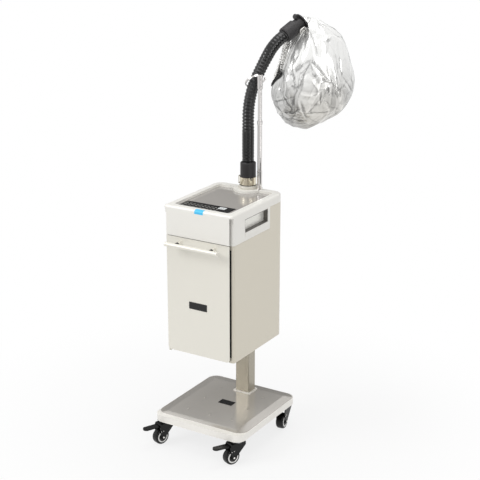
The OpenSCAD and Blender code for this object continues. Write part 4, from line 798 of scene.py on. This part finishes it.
def makeRings():
    # rubber ring under the outlet's collar, pale snap rings on the hubs, domed axle nuts and rivets on the forks
    seal = {"radius": 0.0247, "wide": 0.0016, "high": 0.0013, "z": 0.7992, "sides": 72, "steps": 14}
    caster = {"swivel": (0.132, 0.147), "ring": [(0.0142, 0.0116), (0.0146, 0.0124), (0.0166, 0.0127), (0.0184, 0.0124),
                                                 (0.0188, 0.0116)], "ringSides": 40,
              "nutAt": 0.0176, "nut": 0.0034, "rivetAt": 0.0160, "rivet": 0.0015,
              "rivets": [(-0.001, 0.0215), (0.0075, 0.0205)], "studSides": 20, "merge": 1e-6,
              "dome": [(0, 0.75), (0.45, 0.65), (0.8, 0.4), (1, 0), (1, -0.3), (0, -0.3)]}
    section = [(seal["radius"] + seal["wide"] * math.cos(a), seal["high"] * math.sin(a)) for a in around(seal["steps"])]
    ring = turned(section, (0, hose["outletY"], seal["z"]), (0, 0, 1), seal["sides"])
    piece(gridObject("collarSealRing", ring, closeU=True, closeV=True), sealRubber, "cabinet")
    for corner in casterCorners:
        low, high = (np.array(c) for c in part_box("tyre_" + corner))
        joint = next(j for j in frame["joints"] if j["name"] == "wheel_spin_" + corner)
        axis = unit(joint["axis"])
        centre = (low + high) / 2
        grids = [(turned([(r, h * side) for r, h in caster["ring"]], centre, axis, caster["ringSides"]), True, True)
                 for side in (-1, 1)]
        item = joinGrids("hubRing_" + corner, grids)
        facesOutwards(item)
        piece(item, hubRingAbs, "wheel_" + corner)
        # rivets lie ahead of the wheel's middle, on the way from the swivel's axis
        x, y = caster["swivel"]
        ahead = unit(centre - np.array([x if "right" in corner else -x, y if "rear" in corner else -y, centre[2]]))
        places = [(centre, caster["nutAt"], caster["nut"])]
        places += [(centre + ahead * forward + np.array([0, 0, up]), caster["rivetAt"], caster["rivet"])
                   for forward, up in caster["rivets"]]
        grids = [(turned([(r * width, r * height) for width, height in caster["dome"]], at + axis * side * out,
                         axis * side, caster["studSides"]), False, True) for at, out, r in places for side in (-1, 1)]
        item = joinGrids("forkStuds_" + corner, grids)
        facesOutwards(item, merge=caster["merge"])
        piece(item, studSteel, "swivel_" + corner)


def makePostShadeSleeves():
    # short dark sleeve on each post of the handle, next to the bar: a dark piece painted as the shade between the bar
    # and the door
    sleeve = {"span": 0.060, "inner": 0.0041, "outer": 0.0050, "start": 0.0145, "length": 0.011, "sides": 32}
    low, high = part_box("bar_handle")
    section = [(sleeve["inner"], 0), (sleeve["outer"], 0), (sleeve["outer"], sleeve["length"]),
               (sleeve["inner"], sleeve["length"])]
    grids = [(turned(section, (x, low[1] + sleeve["start"], (low[2] + high[2]) / 2), (0, 1, 0), sleeve["sides"]), True,
              True) for x in (-sleeve["span"], sleeve["span"])]
    item = joinGrids("postShadeSleeves", grids)
    facesOutwards(item)
    piece(item, blackAbsAndShadeFill, "door")


makeRings()
makePostShadeSleeves()
makeBasePanel()
makeSticker()
makeMarks()
print("panel trim is made")


def seenDirectly(tree):
    # 1 for rays of the camera, of reflections and of clear parts, 0 for those that light the object
    rays = addNode(tree, "ShaderNodeLightPath").outputs
    seen = rays["Is Camera Ray"]
    for kind in ("Is Glossy Ray", "Is Transmission Ray"):
        seen = addNode(tree, "ShaderNodeMath", {"operation": "MAXIMUM"}, {0: seen, 1: rays[kind]}).outputs[0]
    return seen


def makeWorld():
    # white where it is seen and dimmer where it lights the object
    world = bpy.data.worlds.new("studioWorld")
    bpy.context.scene.world = world
    world.use_nodes = True
    tree = world.node_tree
    tree.nodes.clear()
    dim, bright = (addNode(tree, "ShaderNodeBackground", {"Color": (1, 1, 1, 1), "Strength": light})
                   for light in (0.55, 1.0))
    mix = addNode(tree, "ShaderNodeMixShader", None, {0: seenDirectly(tree), 1: dim.outputs[0], 2: bright.outputs[0]})
    addNode(tree, "ShaderNodeOutputWorld", None, {"Surface": mix.outputs[0]})


def makeFloor():
    # white studio paper: matt and lit by the lamps near the object, fading to plain white away from it
    paperGrey, nearFade, farFade = 0.8, 0.3, 1.1
    halfSize, points = 20.0, 9
    span = np.linspace(-halfSize, halfSize, points)
    gx, gy = np.meshgrid(span, span, indexing="ij")
    floor = gridObject("studioFloor", np.stack([gx, gy, np.zeros_like(gx)], -1), smooth=False)
    paper = bpy.data.materials.new("white_studio_paper")
    paper.use_nodes = True
    tree = paper.node_tree
    shader = tree.nodes["Principled BSDF"]
    shader.inputs["Base Color"].default_value = (paperGrey, paperGrey, paperGrey, 1)
    shader.inputs["Roughness"].default_value = 0.9
    glow = addNode(tree, "ShaderNodeEmission", {"Color": (1, 1, 1, 1), "Strength": 1.0})
    place = addNode(tree, "ShaderNodeTexCoord")
    distance = addNode(tree, "ShaderNodeVectorMath", {"operation": "LENGTH"}, {0: place.outputs["Object"]})
    fade = addNode(tree, "ShaderNodeMapRange", {"interpolation_type": "SMOOTHSTEP", "From Min": nearFade,
                                                "From Max": farFade, "To Min": 0.8, "To Max": 1.0},
                   {"Value": distance.outputs["Value"]})
    shown = addNode(tree, "ShaderNodeMixShader", None, {0: fade.outputs[0], 1: shader.outputs[0], 2: glow.outputs[0]})
    both = addNode(tree, "ShaderNodeMixShader", None,
                   {0: seenDirectly(tree), 1: shader.outputs[0], 2: shown.outputs[0]})
    tree.links.new(both.outputs[0], tree.nodes["Material Output"].inputs["Surface"])
    floor.data.materials.append(paper)
    return floor


def makeLamp(name, lamp):
    data = bpy.data.lights.new(name, "AREA")
    data.shape, data.size, data.energy = "SQUARE", lamp["size"], lamp["watts"]
    item = bpy.data.objects.new(name, data)
    back = (Vector(lamp["place"]) - Vector(lamp["aim"])).normalized()
    item.matrix_world = Matrix.Translation(lamp["place"]) @ back.to_track_quat("Z", "Y").to_matrix().to_4x4()
    item.visible_camera = False
    bpy.context.scene.collection.objects.link(item)
    return item


def makeFlag(name, flag):
    # an upright card square to the way to the object, which only reflections see
    x, y = flag["place"]
    length = math.hypot(x, y)
    side = np.array([-y / length, x / length, 0])
    corners = np.linspace(-0.5, 0.5, 5)[:, None, None] * flag["width"] * side + np.array([x, y, 0])
    heights = np.linspace(flag["low"], flag["top"], 5)[None, :, None] * np.array([0, 0, 1.0])
    item = gridObject(name, corners + heights, smooth=False)
    cloth = bpy.data.materials.new(name + "Felt")
    cloth.use_nodes = True
    cloth.node_tree.nodes.clear()
    tone = addNode(cloth.node_tree, "ShaderNodeEmission", {"Color": (1, 1, 1, 1), "Strength": flag["tone"]})
    addNode(cloth.node_tree, "ShaderNodeOutputMaterial", None, {"Surface": tone.outputs[0]})
    item.data.materials.append(cloth)
    item.visible_camera = item.visible_diffuse = item.visible_transmission = item.visible_shadow = False
    return item


lamps = {
    "keyLamp": {"place": (-1.9, -2.4, 2.6), "aim": (0, 0, 0.7), "size": 1.6, "watts": 52},
    "fillLamp": {"place": (2.6, -1.2, 1.6), "aim": (0, 0, 0.7), "size": 1.4, "watts": 16},
    "topLamp": {"place": (0.2, 0.3, 3.2), "aim": (0, 0, 0.6), "size": 1.8, "watts": 26},
}
# dark flags and one bright card
flags = {
    "backLowFlag": {"place": (-1.57, 2.56), "width": 2.8, "low": 0.002, "top": 0.85, "tone": 0.16},
    "backHighFlag": {"place": (-4.18, 6.82), "width": 8.0, "low": 0.9, "top": 4.35, "tone": 0.16},
    "cameraFlag": {"place": (1.05, -1.70), "width": 0.62, "low": 0.002, "top": 1.7, "tone": 0.02},
    "rightFlag": {"place": (2.1, -0.35), "width": 2.0, "low": 0.002, "top": 1.9, "tone": 0.12},
    "leftFlag": {"place": (-1.25, -1.35), "width": 0.9, "low": 0.002, "top": 0.55, "tone": 0.3},
    "ribCard": {"place": (1.84, -0.46), "width": 0.30, "low": 0.4, "top": 2.9, "tone": 5.0},
}
makeWorld()
studio = [makeFloor()] + [makeLamp(*lamp) for lamp in lamps.items()] + [makeFlag(*flag) for flag in flags.items()]
print("studio is made")
